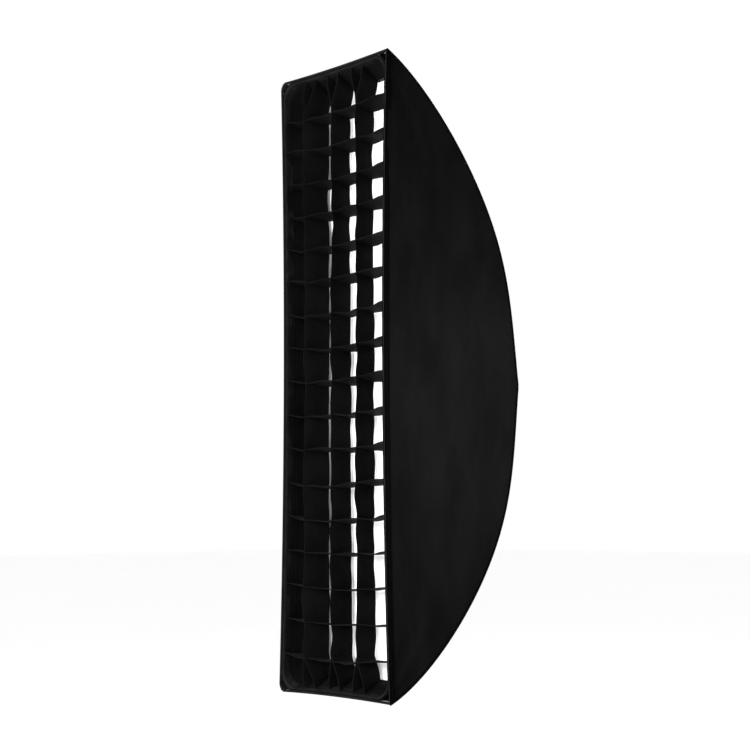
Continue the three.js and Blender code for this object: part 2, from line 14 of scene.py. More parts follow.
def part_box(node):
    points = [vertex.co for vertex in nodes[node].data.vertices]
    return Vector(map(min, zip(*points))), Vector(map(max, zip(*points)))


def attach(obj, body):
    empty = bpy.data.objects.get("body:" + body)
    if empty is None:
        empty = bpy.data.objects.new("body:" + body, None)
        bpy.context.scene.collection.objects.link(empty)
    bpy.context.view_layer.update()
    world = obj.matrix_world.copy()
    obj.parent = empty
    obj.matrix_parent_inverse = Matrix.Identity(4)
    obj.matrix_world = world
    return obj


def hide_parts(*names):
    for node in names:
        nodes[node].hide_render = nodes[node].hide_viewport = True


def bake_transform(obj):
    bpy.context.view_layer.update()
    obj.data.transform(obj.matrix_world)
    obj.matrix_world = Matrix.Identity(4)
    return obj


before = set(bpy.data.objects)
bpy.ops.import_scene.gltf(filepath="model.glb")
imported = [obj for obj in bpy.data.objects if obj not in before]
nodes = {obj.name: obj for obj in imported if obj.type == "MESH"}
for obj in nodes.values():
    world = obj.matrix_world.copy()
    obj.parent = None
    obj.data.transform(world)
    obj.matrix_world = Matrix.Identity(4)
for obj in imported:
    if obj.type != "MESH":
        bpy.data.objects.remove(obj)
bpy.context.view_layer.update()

# ---- sizes ---------------------------------------------------------------------------------------
MM = 0.001
HALF_WIDTH = 0.110
HALF_HEIGHT = 0.450
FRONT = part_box("front_hem")[0].y
SIDE_BOW = 0.008  # how far the long edges of the mouth are drawn in
END_BOW = 0.002
SIDE_DISH = 0.003  # how far the middle of a panel sinks in between mouth and rim
END_DISH = 0.004
SIDE_REACH = 0.4435  # half length of a side panel's cloth, just short of the seams
RIM = 0.078  # radius of the round opening at the rear
RIM_ANGLE = math.radians(11)  # the seams meet the rim this far above and below the middle
SHELL_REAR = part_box("side_panel_right")[1].y
FAN = 0.25  # share of the seam over which an end panel fans out from the round rim
CLOTH = 0.0012  # thickness of the shell, with its coating
HEM = 0.014  # depth of the binding round the mouth

GRID_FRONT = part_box("grid_border")[0].y
GRID_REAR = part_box("grid_border")[1].y
GRID_PITCH = 0.049
CROSS_STRIPS = 17
LONG_STRIPS = 3
STRIP = 0.0011  # thickness of a grid strip
STRIP_REACH = 0.441  # half length of a long strip
GRID_CORNER = 0.024  # corner radius of the grid, the front diffuser and their tapes
GRID_CORNERS = (GRID_CORNER, GRID_CORNER)
MOUTH_CORNERS = (0.012, 0.0035)  # corner radius of the mouth's binding, left and right
WEB_REACH = 0.034  # how far a corner web runs from the corner of the mouth
BORDER_INSET = 0.0043  # from the shell to the inner face of the grid's border
TAPE_INSET = 1.7 * MM  # from the shell to the outer face of the loop tapes
TAPE_THICKNESS = 0.6 * MM

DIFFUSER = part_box("front_diffuser_cloth")[0].y + 0.5 * MM
DIFFUSER_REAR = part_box("front_diffuser_border")[1].y
INNER_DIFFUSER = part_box("inner_diffuser_cloth")[0].y + 0.5 * MM

# name of each corner, and its signs of x and z
CORNERS = [("top_right", 1, 1), ("top_left", -1, 1), ("bottom_right", 1, -1), ("bottom_left", -1, -1)]
dice = random.Random(7)


# ---- the shell's shape ---------------------------------------------------------------------------
SEAM_CONTROL = np.array([
    [RIM * math.cos(RIM_ANGLE), SHELL_REAR, RIM * math.sin(RIM_ANGLE)],
    [0.078, -0.028, 0.189],
    [0.084, -0.035, 0.233],
    [0.097, -0.185, 0.406],
    [HALF_WIDTH, FRONT, HALF_HEIGHT],
])


def bezier(controls, t):
    """Point of a Bezier curve at t, which may be an array."""
    t = np.asarray(t, float)[..., None]
    degree = len(controls) - 1
    return sum(
        math.comb(degree, k) * t ** k * (1 - t) ** (degree - k) * point
        for k, point in enumerate(controls)
    )


def seam(t):
    """Point of the corner seam in the quadrant of +X and +Z; t may be an array."""
    return bezier(SEAM_CONTROL, t)


def seam_normal(t):
    """Unit normal of the seam in the YZ plane, pointing into the shell."""
    slope = bezier(np.diff(SEAM_CONTROL, axis=0), t)
    normal = np.stack([0 * slope[..., 0], -slope[..., 2], slope[..., 1]], -1)
    return normal / np.linalg.norm(normal, axis=-1, keepdims=True)


STATIONS = np.linspace(0, 1, 1601)
SEAM_POINTS = seam(STATIONS)
RIM_BEND = SEAM_CONTROL[0][2]


def seam_t_at_z(z):
    return np.interp(np.abs(z), SEAM_POINTS[:, 2], STATIONS)


def seam_t_at_y(y):
    return np.interp(-np.asarray(y), -SEAM_POINTS[:, 1], STATIONS)


def smooth(x):
    x = np.clip(x, 0, 1)
    return x * x * (3 - 2 * x)


def side_rear(z):
    """Depth and half width at the rear edge of a side panel."""
    point = seam(seam_t_at_z(np.maximum(np.abs(z), RIM_BEND)))
    return point[..., 1], point[..., 0]


def side_x(y, z):
    """Distance of the right side panel from the middle plane."""
    y, z = np.broadcast_arrays(np.asarray(y, float), np.asarray(z, float))
    rear_y, rear_x = side_rear(z)
    slack = np.maximum(0, 1 - (z / HALF_HEIGHT) ** 2)
    mouth = HALF_WIDTH - SIDE_BOW * slack
    t = np.clip((y - FRONT) / np.maximum(rear_y - FRONT, 1e-6), 0, 1)
    straight = mouth + (rear_x - mouth) * t - 4 * SIDE_DISH * slack * t * (1 - t)
    bulge = np.sqrt(np.maximum(RIM ** 2 - z ** 2, 0)) - rear_x
    return straight + np.where(np.abs(z) < RIM_BEND, bulge, 0) * t ** 5


def end_dip(t, u):
    return (END_BOW * t + END_DISH * np.sin(math.pi * t)) * (1 - u * u)


def end_z(y, u):
    """Half height of the shell at depth y and share u of its half width, and the wall's slope."""
    t = seam_t_at_y(y)
    slope = 1 / np.abs(seam_normal(t)[..., 2])
    return seam(t)[..., 2] - slope * end_dip(t, u), slope


FANNED = float(seam(FAN)[2])


def end_surface(x, z):
    """Point of the undished top panel at x and height z; near the rim it is lifted to meet it."""
    depth = seam(seam_t_at_z(z))[..., 1]
    rim = np.sqrt(np.maximum(RIM ** 2 - x ** 2, RIM_BEND ** 2))
    rim_depth = seam(seam_t_at_z(rim))[..., 1]
    lift = (SHELL_REAR - rim_depth) * np.clip((FANNED - z) / (FANNED - rim), 0, 1)
    return np.stack([x + 0 * z, depth + lift, z + 0 * x], -1)


def end_grid(rows, u, height=0.0):
    """Points of the top panel on rows of seam parameters, raised by height from its surface."""
    t, u = np.meshgrid(rows, u, indexing="ij")
    point = seam(t)
    x = u * (point[..., 0] - 0.3 * MM)
    rim = np.sqrt(np.maximum(RIM ** 2 - x ** 2, RIM_BEND ** 2))
    share = np.clip((point[..., 2] - RIM_BEND) / (FANNED - RIM_BEND), 0, 1)
    z = np.where(t >= FAN, point[..., 2], rim + (FANNED - rim) * share)
    offset = end_dip(t, u) - height
    return end_surface(x, z) + seam_normal(t) * offset[..., None]


def ring(y, inset, radius):
    """Closed loop inside the shell at one depth: rows of (x, z), counted alike for every depth."""
    side, corner, end = 90, 10, 22
    z_top, slope = end_z(y, 1.0)
    z_corner = float(z_top - slope * inset)
    start = z_corner - radius
    z = np.linspace(0, start, side)
    quarter = np.stack([side_x(y, z) - inset, z], -1)
    x_start = quarter[-1][0]
    angle = np.linspace(0, math.pi / 2, corner + 2)[1:-1]
    arc = np.stack([x_start - radius * (1 - np.cos(angle)), start + radius * np.sin(angle)], -1)
    x = np.linspace(x_start - radius, 0, end)
    top = np.stack([x, end_z(y, x / x_start)[0] - slope * inset], -1)
    quarter = np.concatenate([quarter, arc, top])
    upper = np.concatenate([quarter, quarter[:-1][::-1] * [-1, 1]])
    return np.concatenate([upper, upper[1:-1][::-1] * [1, -1]])


def ring_normals(loop):
    """Unit normals of a closed (x, z) loop, pointing outwards."""
    tangent = np.roll(loop, -1, 0) - np.roll(loop, 1, 0)
    normal = np.stack([tangent[:, 1], -tangent[:, 0]], -1)
    return normal / np.maximum(np.linalg.norm(normal, axis=1, keepdims=True), 1e-9)


def lengths(points):
    """Arc length at each point of a polyline."""
    steps = np.linalg.norm(np.diff(points, axis=0), axis=1)
    return np.concatenate([[0], np.cumsum(steps)])


def resampled(values, along, places):
    """Rows of values at the given places; along is the length at each row."""
    return np.stack([np.interp(places, along, values[:, k]) for k in range(3)], -1)


def densify(points, count):
    """The same polyline with count evenly spaced points."""
    along = lengths(points)
    return resampled(points, along, np.linspace(0, along[-1], count))


def scaled(profile):
    """Pairs of millimetres as pairs of metres."""
    return [(first * MM, second * MM) for first, second in profile]


def band(depths, inset, radius, lift=None):
    """Grid of points that follows the inside of the shell. lift(along, share) moves it inwards."""
    rows = []
    for k, y in enumerate(depths):
        loop = ring(y, inset, radius)
        if lift is not None:
            share = k / (len(depths) - 1)
            loop = loop - ring_normals(loop) * lift(lengths(loop), share)[:, None]
        rows.append(np.stack([loop[:, 0], np.full(len(loop), y), loop[:, 1]], -1))
    return np.stack(rows, 1)


def soft_noise(points, size, seed=0.0):
    """Smooth noise from -1 to 1 at each point of an array."""
    flat = points.reshape(-1, 3) / size + seed
    values = [noise.noise(Vector(p)) for p in flat]
    return np.array(values).reshape(points.shape[:-1])


# ---- meshes --------------------------------------------------------------------------------------
def finish_mesh(name, vertices, faces, materials, indices=None, sharp=50):
    mesh = bpy.data.meshes.new(name)
    mesh.from_pydata([tuple(map(float, v)) for v in vertices], [], faces)
    for material in materials:
        mesh.materials.append(material)
    if indices is not None:
        mesh.polygons.foreach_set("material_index", indices)
    mesh.validate()
    mesh.shade_smooth()
    mesh.set_sharp_from_angle(angle=math.radians(sharp))
    piece = bpy.data.objects.new(name, mesh)
    bpy.context.scene.collection.objects.link(piece)
    return piece


def grid_normals(grid, loop):
    """Unit normals of a grid of points; loop joins its last row to its first."""
    along = np.roll(grid, -1, 0) - np.roll(grid, 1, 0) if loop else np.gradient(grid, axis=0)
    across = np.gradient(grid, axis=1)
    normal = np.cross(along, across)
    return normal / np.maximum(np.linalg.norm(normal, axis=-1, keepdims=True), 1e-12)


def shell_parts(grid, thickness, loop=False, away=(0, -0.2, 0)):
    """Vertices, faces and material indices of a thin closed sheet. The grid is its outer face."""
    normal = grid_normals(grid, loop)
    if np.sum(normal * (grid - np.array(away))) < 0:
        grid = grid[:, ::-1]
        normal = -normal[:, ::-1]
    rows, columns = grid.shape[:2]
    count = rows * columns
    vertices = np.concatenate([grid.reshape(-1, 3), (grid - normal * thickness).reshape(-1, 3)])
    faces = []
    indices = []
    spans = rows if loop else rows - 1

    def quad(a, b, c, d, index):
        faces.append((a, b, c, d))
        indices.append(index)

    for i in range(spans):
        near, far = i * columns, ((i + 1) % rows) * columns
        for j in range(columns - 1):
            quad(near + j, far + j, far + j + 1, near + j + 1, 0)
            quad(count + near + j, count + near + j + 1, count + far + j + 1, count + far + j, 1)
        last = columns - 1
        quad(near, count + near, count + far, far, 0)
        quad(near + last, far + last, count + far + last, count + near + last, 0)
    if not loop:
        end = (rows - 1) * columns
        for j in range(columns - 1):
            quad(j, j + 1, count + j + 1, count + j, 0)
            quad(end + j, count + end + j, count + end + j + 1, end + j + 1, 0)
    return vertices, faces, indices


def joined(parts):
    """One set of vertices, faces and indices from several."""
    vertices, faces, indices = [], [], []
    start = 0
    for part_vertices, part_faces, part_indices in parts:
        vertices.append(part_vertices)
        faces += [tuple(k + start for k in face) for face in part_faces]
        indices += part_indices
        start += len(part_vertices)
    return np.concatenate(vertices), faces, indices


def sheet_piece(name, grids, thickness, materials, loop=False, away=(0, -0.2, 0)):
    grids = grids if isinstance(grids, list) else [grids]
    parts = [shell_parts(grid, thickness, loop, away) for grid in grids]
    vertices, faces, indices = joined(parts)
    if len(materials) == 1:
        indices = [0] * len(faces)
    return finish_mesh(name, vertices, faces, materials, indices)


def frames(points, closed, up=None):
    """Tangents and two cross directions along a polyline, without twist."""
    if closed:
        tangent = np.roll(points, -1, 0) - np.roll(points, 1, 0)
    else:
        tangent = np.gradient(points, axis=0)
    tangent = tangent / np.linalg.norm(tangent, axis=1, keepdims=True)
    if up is None:
        up = np.array([0.0, 0.0, 1.0]) if abs(tangent[0][2]) < 0.9 else np.array([1.0, 0.0, 0.0])
        ups = []
        for direction in tangent:
            up = up - direction * np.dot(up, direction)
            up = up / np.linalg.norm(up)
            ups.append(up)
        up = np.array(ups)
    up = up - tangent * np.sum(up * tangent, axis=1, keepdims=True)
    up = up / np.linalg.norm(up, axis=1, keepdims=True)
    return tangent, up, np.cross(tangent, up)


def swept(points, section, closed=False, up=None, scale=None):
    """A closed section of (up, side) points swept along a polyline."""
    _, up, side = frames(points, closed, up)
    size = np.ones(len(points)) if scale is None else scale
    section = np.asarray(section)
    rings = points[:, None] + size[:, None, None] * (
        section[None, :, :1] * up[:, None] + section[None, :, 1:] * side[:, None]
    )
    count, sides = rings.shape[:2]
    faces = []
    for i in range(count if closed else count - 1):
        near, far = i * sides, ((i + 1) % count) * sides
        for j in range(sides):
            k = (j + 1) % sides
            faces.append((near + j, near + k, far + k, far + j))
    if not closed:
        faces.append(tuple(range(sides))[::-1])
        faces.append(tuple(range((count - 1) * sides, count * sides)))
    return rings.reshape(-1, 3), faces, [0] * len(faces)


def round_section(radius, sides=10):
    angles = [2 * math.pi * k / sides for k in range(sides)]
    return [(radius * math.cos(a), radius * math.sin(a)) for a in angles]


def tube(name, points, radius, material, closed=False, scale=None):
    part = swept(np.asarray(points), round_section(radius), closed, scale=scale)
    return finish_mesh(name, part[0], part[1], [material])


STITCH = 0.0030
STITCH_STEP = 0.0042
THREAD = 0.00042


def stitch_parts(points, normals, closed=False):
    """A row of stitches, small pointed grains, along a line on a surface."""
    if closed:
        points = np.concatenate([points, points[:1]])
        normals = np.concatenate([normals, normals[:1]])
    along = lengths(points)
    places = np.arange(STITCH_STEP, along[-1] - STITCH_STEP / 2, STITCH_STEP)
    head = resampled(points, along, places - STITCH / 2)
    tail = resampled(points, along, places + STITCH / 2)
    normal = resampled(normals, along, places)
    normal = normal / np.linalg.norm(normal, axis=1, keepdims=True)
    side = np.cross(tail - head, normal)
    side = side / np.linalg.norm(side, axis=1, keepdims=True)
    middle = (head + tail) / 2
    corners = [
        head,
        tail,
        middle + normal * THREAD * 1.3,
        middle + side * THREAD,
        middle - normal * THREAD,
        middle - side * THREAD,
    ]
    vertices = np.stack(corners, 1).reshape(-1, 3)
    pattern = [(0, 2, 3), (0, 3, 4), (0, 4, 5), (0, 5, 2), (1, 3, 2), (1, 4, 3), (1, 5, 4), (1, 2, 5)]
    faces = [tuple(6 * k + i for i in face) for k in range(len(places)) for face in pattern]
    return vertices, faces, [0] * len(faces)


def sewn(name, rows, body="softbox", white=False):
    """Rows of stitches as one piece on a body; a row is (points, normals) or has closed as its third."""
    vertices, faces, _ = joined([stitch_parts(*row) for row in rows])
    piece = finish_mesh(name, vertices, faces, [WHITE_THREAD if white else BLACK_THREAD], sharp=180)
    placed(piece, body, "white_cloth" if white else "black_tape")


def lathe(name, profile, material, start=0.0, sweep=360.0, segments=144, bevel=0.3 * MM):
    """A body turned about the Y axis from a closed profile of (radius, y) points."""
    full = sweep >= 360
    turns = max(6, round(segments * sweep / 360))
    angles = [math.radians(start + sweep * k / turns) for k in range(turns if full else turns + 1)]
    sides = len(profile)
    vertices = [(r * math.cos(a), y, r * math.sin(a)) for a in angles for r, y in profile]
    faces = []
    for i in range(turns):
        near, far = i * sides, ((i + 1) % len(angles)) * sides
        for j in range(sides):
            k = (j + 1) % sides
            faces.append((near + j, near + k, far + k, far + j))
    if not full:
        faces.append(tuple(range(sides))[::-1])
        faces.append(tuple(range(turns * sides, (turns + 1) * sides)))
    piece = finish_mesh(name, vertices, faces, [material], sharp=30)
    recalculate_normals(piece)
    add_bevel(piece, bevel)
    return piece


def recalculate_normals(piece):
    mesh = bmesh.new()
    mesh.from_mesh(piece.data)
    bmesh.ops.recalc_face_normals(mesh, faces=mesh.faces)
    mesh.to_mesh(piece.data)
    mesh.free()


def add_bevel(piece, width, angle=30, segments=3):
    bevel = piece.modifiers.new("edge", "BEVEL")
    bevel.width = width
    bevel.segments = segments
    bevel.limit_method = "ANGLE"
    bevel.angle_limit = math.radians(angle)
    bevel.harden_normals = True


# ---- materials -----------------------------------------------------------------------------------
class Finish:
    """A Principled material with helpers for procedural colour, roughness and bump."""

    def __init__(self, name, colour, roughness, specular=0.3, metallic=0.0):
        self.material = bpy.data.materials.new(name)
        self.material.use_nodes = True
        tree = self.material.node_tree
        self.nodes, self.links = tree.nodes, tree.links
        self.shader = self.nodes["Principled BSDF"]
        self.set("Base Color", (*colour, 1))
        self.set("Roughness", roughness)
        self.set("Specular IOR Level", specular)
        self.set("Metallic", metallic)
        self.colour = colour
        self.place = self.nodes.new("ShaderNodeTexCoord").outputs["Object"]
        self.height = None

    def set(self, socket, value):
        self.shader.inputs[socket].default_value = value

    def node(self, kind, **inputs):
        """A new node with its inputs set or linked; an underscore stands for a space in an input's name."""
        node = self.nodes.new(f"ShaderNode{kind}")
        for name, value in inputs.items():
            socket = node.inputs[name.replace("_", " ")]
            if isinstance(value, bpy.types.NodeSocket):
                self.links.new(value, socket)
            else:
                socket.default_value = value
        return node

    def noise(self, size, detail=3.0, rough=0.5, stretch=(1, 1, 1)):
        """Noise whose features measure about size metres."""
        mapping = self.node("Mapping", Scale=stretch, Vector=self.place)
        vector = mapping.outputs["Vector"]
        texture = self.node("TexNoise", Scale=1 / size, Detail=detail, Roughness=rough, Vector=vector)
        return texture.outputs["Fac"]

    def threads(self, axis, period):
        """Bands across one axis, one to each thread."""
        scale = 2 * math.pi / (20 * period)
        texture = self.node("TexWave", Scale=scale, Distortion=0.6, Detail=1.0, Detail_Scale=2.0)
        self.links.new(self.place, texture.inputs["Vector"])
        texture.bands_direction = axis
        return texture.outputs["Fac"]

    def math(self, operation, first, second):
        node = self.nodes.new("ShaderNodeMath")
        node.operation = operation
        for k, value in enumerate((first, second)):
            if isinstance(value, (int, float)):
                node.inputs[k].default_value = value
            else:
                self.links.new(value, node.inputs[k])
        return node.outputs[0]

    def spread(self, value, low, high, source=(0.3, 0.7)):
        """value from its source range to the range low to high."""
        first, last = source
        node = self.node("MapRange", From_Min=first, From_Max=last, To_Min=low, To_Max=high, Value=value)
        return node.outputs["Result"]

    def tint(self, value, dark, light, source=(0.3, 0.7)):
        """Base colour between two multiples of the finish's own colour."""
        ramp = self.node("ValToRGB", Fac=value)
        for stop, share, place in zip(ramp.color_ramp.elements, (dark, light), source):
            stop.position = place
            stop.color = (*[min(1.0, c * share) for c in self.colour], 1)
        self.links.new(ramp.outputs["Color"], self.shader.inputs["Base Color"])

    def rough(self, value, low, high):
        self.links.new(self.spread(value, low, high), self.shader.inputs["Roughness"])

    def bump(self, value, distance, strength=1.0):
        node = self.node("Bump", Strength=strength, Distance=distance, Height=value)
        if self.height is not None:
            self.links.new(self.height, node.inputs["Normal"])
        self.height = node.outputs["Normal"]
        self.links.new(self.height, self.shader.inputs["Normal"])


def nylon(name, axes, colour=(0.0015, 0.0015, 0.0016), period=1.1 * MM, sheen=0.001):
    """Matt black coated nylon with a visible weave, soft mottling and faint creases."""
    cloth = Finish(name, colour, 0.6, specular=0.013)
    cloth.set("Sheen Weight", sheen)
    cloth.set("Sheen Roughness", 0.45)
    patches = cloth.noise(0.085, 3.0, 0.55, stretch=(1, 1.4, 0.7))
    grain = cloth.noise(0.004, 2.0)
    cloth.tint(cloth.math("ADD", patches, cloth.math("MULTIPLY", grain, 0.12)), 0.75, 1.4, (0.42, 0.7))
    cloth.rough(patches, 0.66, 0.56)
    weave = cloth.math("MAXIMUM", *[cloth.threads(axis, period) for axis in axes])
    cloth.bump(weave, 0.1 * MM, 0.5)
    cloth.bump(cloth.noise(0.03, 4.0, 0.6), 1.2 * MM, 0.25)
    return cloth.material


def tape(name, colour=(0.0034, 0.0034, 0.0035), fuzz=0.5 * MM):
    """Hook or loop tape and ribbed binding."""
    pile = Finish(name, colour, 0.8, specular=0.03)
    pile.set("Sheen Weight", 0.008)
    fibres = pile.noise(0.0011, 3.0, 0.7)
    pile.tint(fibres, 0.4, 1.9)
    pile.bump(fibres, fuzz, 0.7)
    return pile.material


def binding_finish(name, colour, specular):
    """Woven binding tape: fine ribs and patchy tone; a darker copy of it is painted shade on the outside of
    the mouth's binding.
    """
    ribbed = Finish(name, colour, 0.5, specular=specular)
    ribbed.tint(ribbed.noise(0.02, 4.0, 0.6), 0.6, 1.8)
    ribbed.rough(ribbed.noise(0.012, 2.0), 0.34, 0.55)
    ribs = ribbed.math("MAXIMUM", ribbed.threads("Z", 0.8 * MM), ribbed.threads("X", 0.8 * MM))
    ribbed.bump(ribs, 0.12 * MM, 0.5)
    ribbed.bump(ribbed.noise(0.012, 3.0), 0.8 * MM, 0.3)
    return ribbed.material


def white_diffusion():
    """White diffusion cloth: an even weave, with soft folds along its length, tinted grey in their valleys as
    painted shade.
    """
    cloth = Finish("diffusion_cloth", (0.93, 0.93, 0.925), 0.75, specular=0.15)
    cloth.set("Sheen Weight", 0.1)
    folds = cloth.noise(0.05, 3.0, 0.5, stretch=(1.3, 1, 0.18))
    # painted shade: the low ground of the folds is tinted grey
    cloth.tint(folds, 0.93, 1.0)
    weave = cloth.math("MAXIMUM", cloth.threads("X", 0.9 * MM), cloth.threads("Z", 0.9 * MM))
    cloth.bump(weave, 0.08 * MM, 0.4)
    cloth.bump(folds, 3 * MM, 0.25)
    return cloth.material


def silver_lining():
    """Silver coating of the shell's inside, finely crinkled."""
    foil = Finish("silver_lining", (0.78, 0.78, 0.79), 0.36, specular=0.5, metallic=0.85)
    foil.rough(foil.noise(0.02, 3.0), 0.28, 0.46)
    foil.bump(foil.noise(0.006, 4.0, 0.65), 0.7 * MM, 0.5)
    foil.bump(foil.math("MAXIMUM", foil.threads("Z", 1.1 * MM), foil.threads("Y", 1.1 * MM)), 0.08 * MM, 0.4)
    return foil.material


def cast_metal():
    coated = Finish("ring_coating", (0.011, 0.011, 0.0115), 0.5, specular=0.12)
    coated.tint(coated.noise(0.01, 4.0, 0.6), 0.7, 1.5)
    coated.rough(coated.noise(0.004, 3.0), 0.4, 0.6)
    coated.bump(coated.noise(0.0009, 3.0, 0.6), 0.12 * MM, 0.6)
    return coated.material


def machined_metal():
    turned = Finish("machined_aluminium", (0.5, 0.5, 0.51), 0.3, specular=0.5, metallic=1.0)
    turned.rough(turned.noise(0.006, 3.0, 0.6), 0.22, 0.4)
    turned.bump(turned.noise(0.0006, 2.0, 0.5, stretch=(1, 6, 1)), 0.03 * MM, 0.5)
    return turned.material


def rod_steel():
    steel = Finish("spring_steel", (0.46, 0.46, 0.47), 0.32, specular=0.5, metallic=1.0)
    steel.rough(steel.noise(0.01, 4.0, stretch=(4, 4, 0.3)), 0.24, 0.44)
    steel.bump(steel.noise(0.001, 2.0, stretch=(5, 5, 0.4)), 0.03 * MM, 0.4)
    return steel.material


def plastic(name, colour):
    moulded = Finish(name, colour, 0.45, specular=0.4)
    moulded.tint(moulded.noise(0.008, 3.0), 0.8, 1.25)
    moulded.rough(moulded.noise(0.003, 2.0), 0.38, 0.52)
    moulded.bump(moulded.noise(0.0007, 2.0), 0.05 * MM, 0.5)
    return moulded.material


def thread_finish(name, colour):
    yarn = Finish(name, colour, 0.6, specular=0.03)
    yarn.tint(yarn.noise(0.003, 2.0), 0.8, 1.3)
    yarn.set("Sheen Weight", 0.01)
    return yarn.material


NYLON_SIDE = nylon("nylon_side", ("Y", "Z"))
NYLON_END = nylon("nylon_end", ("X", "Z"))
NYLON_STRIP = nylon("nylon_strip", ("Y", "Z"), (0.0026, 0.0026, 0.0027), 0.9 * MM, 0.003)
NYLON_CROSS = nylon("nylon_cross", ("X", "Y"), (0.0026, 0.0026, 0.0027), 0.9 * MM, 0.003)
TAPE = tape("loop_pile")
BINDING = binding_finish("binding", (0.0048, 0.0048, 0.005), 0.035)
# darker copy of the binding: painted shade, a shadow band along the outside of the mouth's binding
BINDING_PAINTED_SHADE = binding_finish("binding_painted_shade", (0.0005, 0.0005, 0.0005), 0.003)
WHITE = white_diffusion()
SILVER = silver_lining()
CAST = cast_metal()
MACHINED = machined_metal()
STEEL = rod_steel()
PLASTIC = plastic("moulded_black", (0.009, 0.009, 0.0094))
NYLON_WHITE = plastic("natural_nylon", (0.8, 0.79, 0.75))
BLACK_THREAD = thread_finish("black_thread", (0.0045, 0.0045, 0.0047))
WHITE_THREAD = thread_finish("white_thread", (0.85, 0.85, 0.84))


def placed(piece, body, slot, *replaced):
    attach(piece, body)
    if replaced:
        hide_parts(*replaced)
    return piece


# ---- shell ---------------------------------------------------------------------------------------
def side_wrinkles(y, z, seed):
    """How far the side cloth stands out or in: puckers at the seam and folds from the corners."""
    rear_y, _ = side_rear(z)
    to_seam = np.maximum(rear_y - y, 0) * np.where(np.abs(z) > RIM_BEND, 0.8, 1.0)
    to_mouth = np.maximum(y - FRONT, 0)
    free = smooth(to_seam / 0.014) * smooth(to_mouth / 0.016)
    along = z + 0.6 * y
    pucker = 0.45 * MM * np.sin(along / 0.0031 + 2.2 * np.sin(z / 0.05 + seed)) * np.exp(-to_seam / 0.016)
    total = pucker * smooth(to_seam / 0.006)
    for end in (1, -1):
        dy, dz = y - FRONT + 0.01, end * HALF_HEIGHT - z
        reach = np.hypot(dy, dz)
        angle = np.arctan2(end * dz, dy)
        fold = np.sin(13 * angle + seed + 1.3 * np.sin(reach / 0.05))
        total = total + 1.5 * MM * fold * np.exp(-((reach - 0.12) / 0.075) ** 2) * free
    points = np.stack([0 * y + seed, y, z], -1)
    total = total + 1.5 * MM * soft_noise(points * [1, 1.3, 0.8], 0.075) * free
    total = total + 0.35 * MM * soft_noise(points, 0.017, 5.0) * free
    return total


def side_grid(side, columns=74, rows=250):
    z = np.linspace(-SIDE_REACH, SIDE_REACH, rows)
    rear_y, _ = side_rear(z)
    share = np.linspace(0, 1, columns)
    y = (FRONT + 3 * MM) + share[None, :] * (rear_y - FRONT - 3 * MM)[:, None]
    z = z[:, None] + 0 * y
    x = side_x(y, z) + side_wrinkles(y, z, 1.0 if side > 0 else 4.0)
    return np.stack([side * x, y, z], -1)


def side_line(y, z, side):
    """Points and normals on the outside of a side panel."""
    y, z = np.broadcast_arrays(np.asarray(y, float), np.asarray(z, float))
    x = side_x(y, z) + side_wrinkles(y, z, 1.0 if side > 0 else 4.0)
    points = np.stack([side * x, y, z], -1)
    return points, np.tile([float(side), 0.25, 0.0], (len(points), 1))


def end_wrinkles(t, x, seed):
    width = seam(t)[..., 0]
    to_seam = np.maximum(width - np.abs(x), 0)
    arc = t * 0.52
    free = smooth(to_seam / 0.016) * smooth((1 - t) / 0.03) * smooth(t / 0.05)
    pucker = 0.45 * MM * np.sin(arc / 0.003 + 2 * np.sin(arc / 0.06 + seed)) * np.exp(-to_seam / 0.015)
    points = np.stack([x, arc, 0 * x + seed], -1)
    total = pucker * smooth(to_seam / 0.005) * smooth((1 - t) / 0.02)
    total = total + 1.6 * MM * soft_noise(points * [1.5, 0.8, 1], 0.06) * free
    return total + 0.35 * MM * soft_noise(points, 0.016, 3.0) * free


def end_panel_grid(end, columns=56, rows=150):
    t = np.linspace(0, float(seam_t_at_y(FRONT + 4 * MM)), rows)
    u = np.linspace(-1, 1, columns)
    base = end_grid(t, u)
    normal = seam_normal(np.meshgrid(t, u, indexing="ij")[0])
    lift = end_wrinkles(t[:, None] + 0 * u[None, :], base[..., 0], 2.0 + end)
    grid = base - normal * lift[..., None]
    return grid * [1, 1, end]


ACCESS = {"x": 0.044, "low": 0.092, "high": 0.132}


def open_edges(faces, count):
    """Faces that close the rim of a hole through both layers of a sheet."""
    used = {}
    for face in faces:
        for a, b in zip(face, face[1:] + face[:1]):
            key = (min(a, b), max(a, b))
            used[key] = None if key in used else (a, b)
    outer = [edge for edge in used.values() if edge and max(edge) < count]
    return [(b, a, a + count, b + count) for a, b in outer]


def end_panel(end, place):
    """End panel with its access opening left out of the faces."""
    grid = end_panel_grid(end)
    x, z = np.abs(grid[..., 0]), np.abs(grid[..., 2])
    inside = (x < ACCESS["x"]) & (z > ACCESS["low"]) & (z < ACCESS["high"])
    vertices, faces, indices = shell_parts(grid, CLOTH)
    cut = np.concatenate([inside.reshape(-1), inside.reshape(-1)])
    if np.sum(np.abs(vertices[0] - grid.reshape(-1, 3)[0])) > 1e-9:
        cut = np.concatenate([inside[:, ::-1].reshape(-1)] * 2)
    kept = [k for k, face in enumerate(faces) if not all(cut[v] for v in face)]
    rim = open_edges([faces[k] for k in kept], len(vertices) // 2)
    piece = finish_mesh(
        f"shell_end_{place}",
        vertices,
        [faces[k] for k in kept] + rim,
        [NYLON_END, SILVER],
        [indices[k] for k in kept] + [0] * len(rim),
    )
    placed(piece, "softbox", "black_cloth", f"end_panel_{place}")
    return piece


def shell():
    for side, place in ((1, "right"), (-1, "left")):
        grid = side_grid(side)
        piece = sheet_piece(f"shell_side_{place}", grid, CLOTH, [NYLON_SIDE, SILVER])
        placed(piece, "softbox", "black_cloth", f"side_panel_{place}")
    end_panel(1, "top")
    end_panel(-1, "bottom")


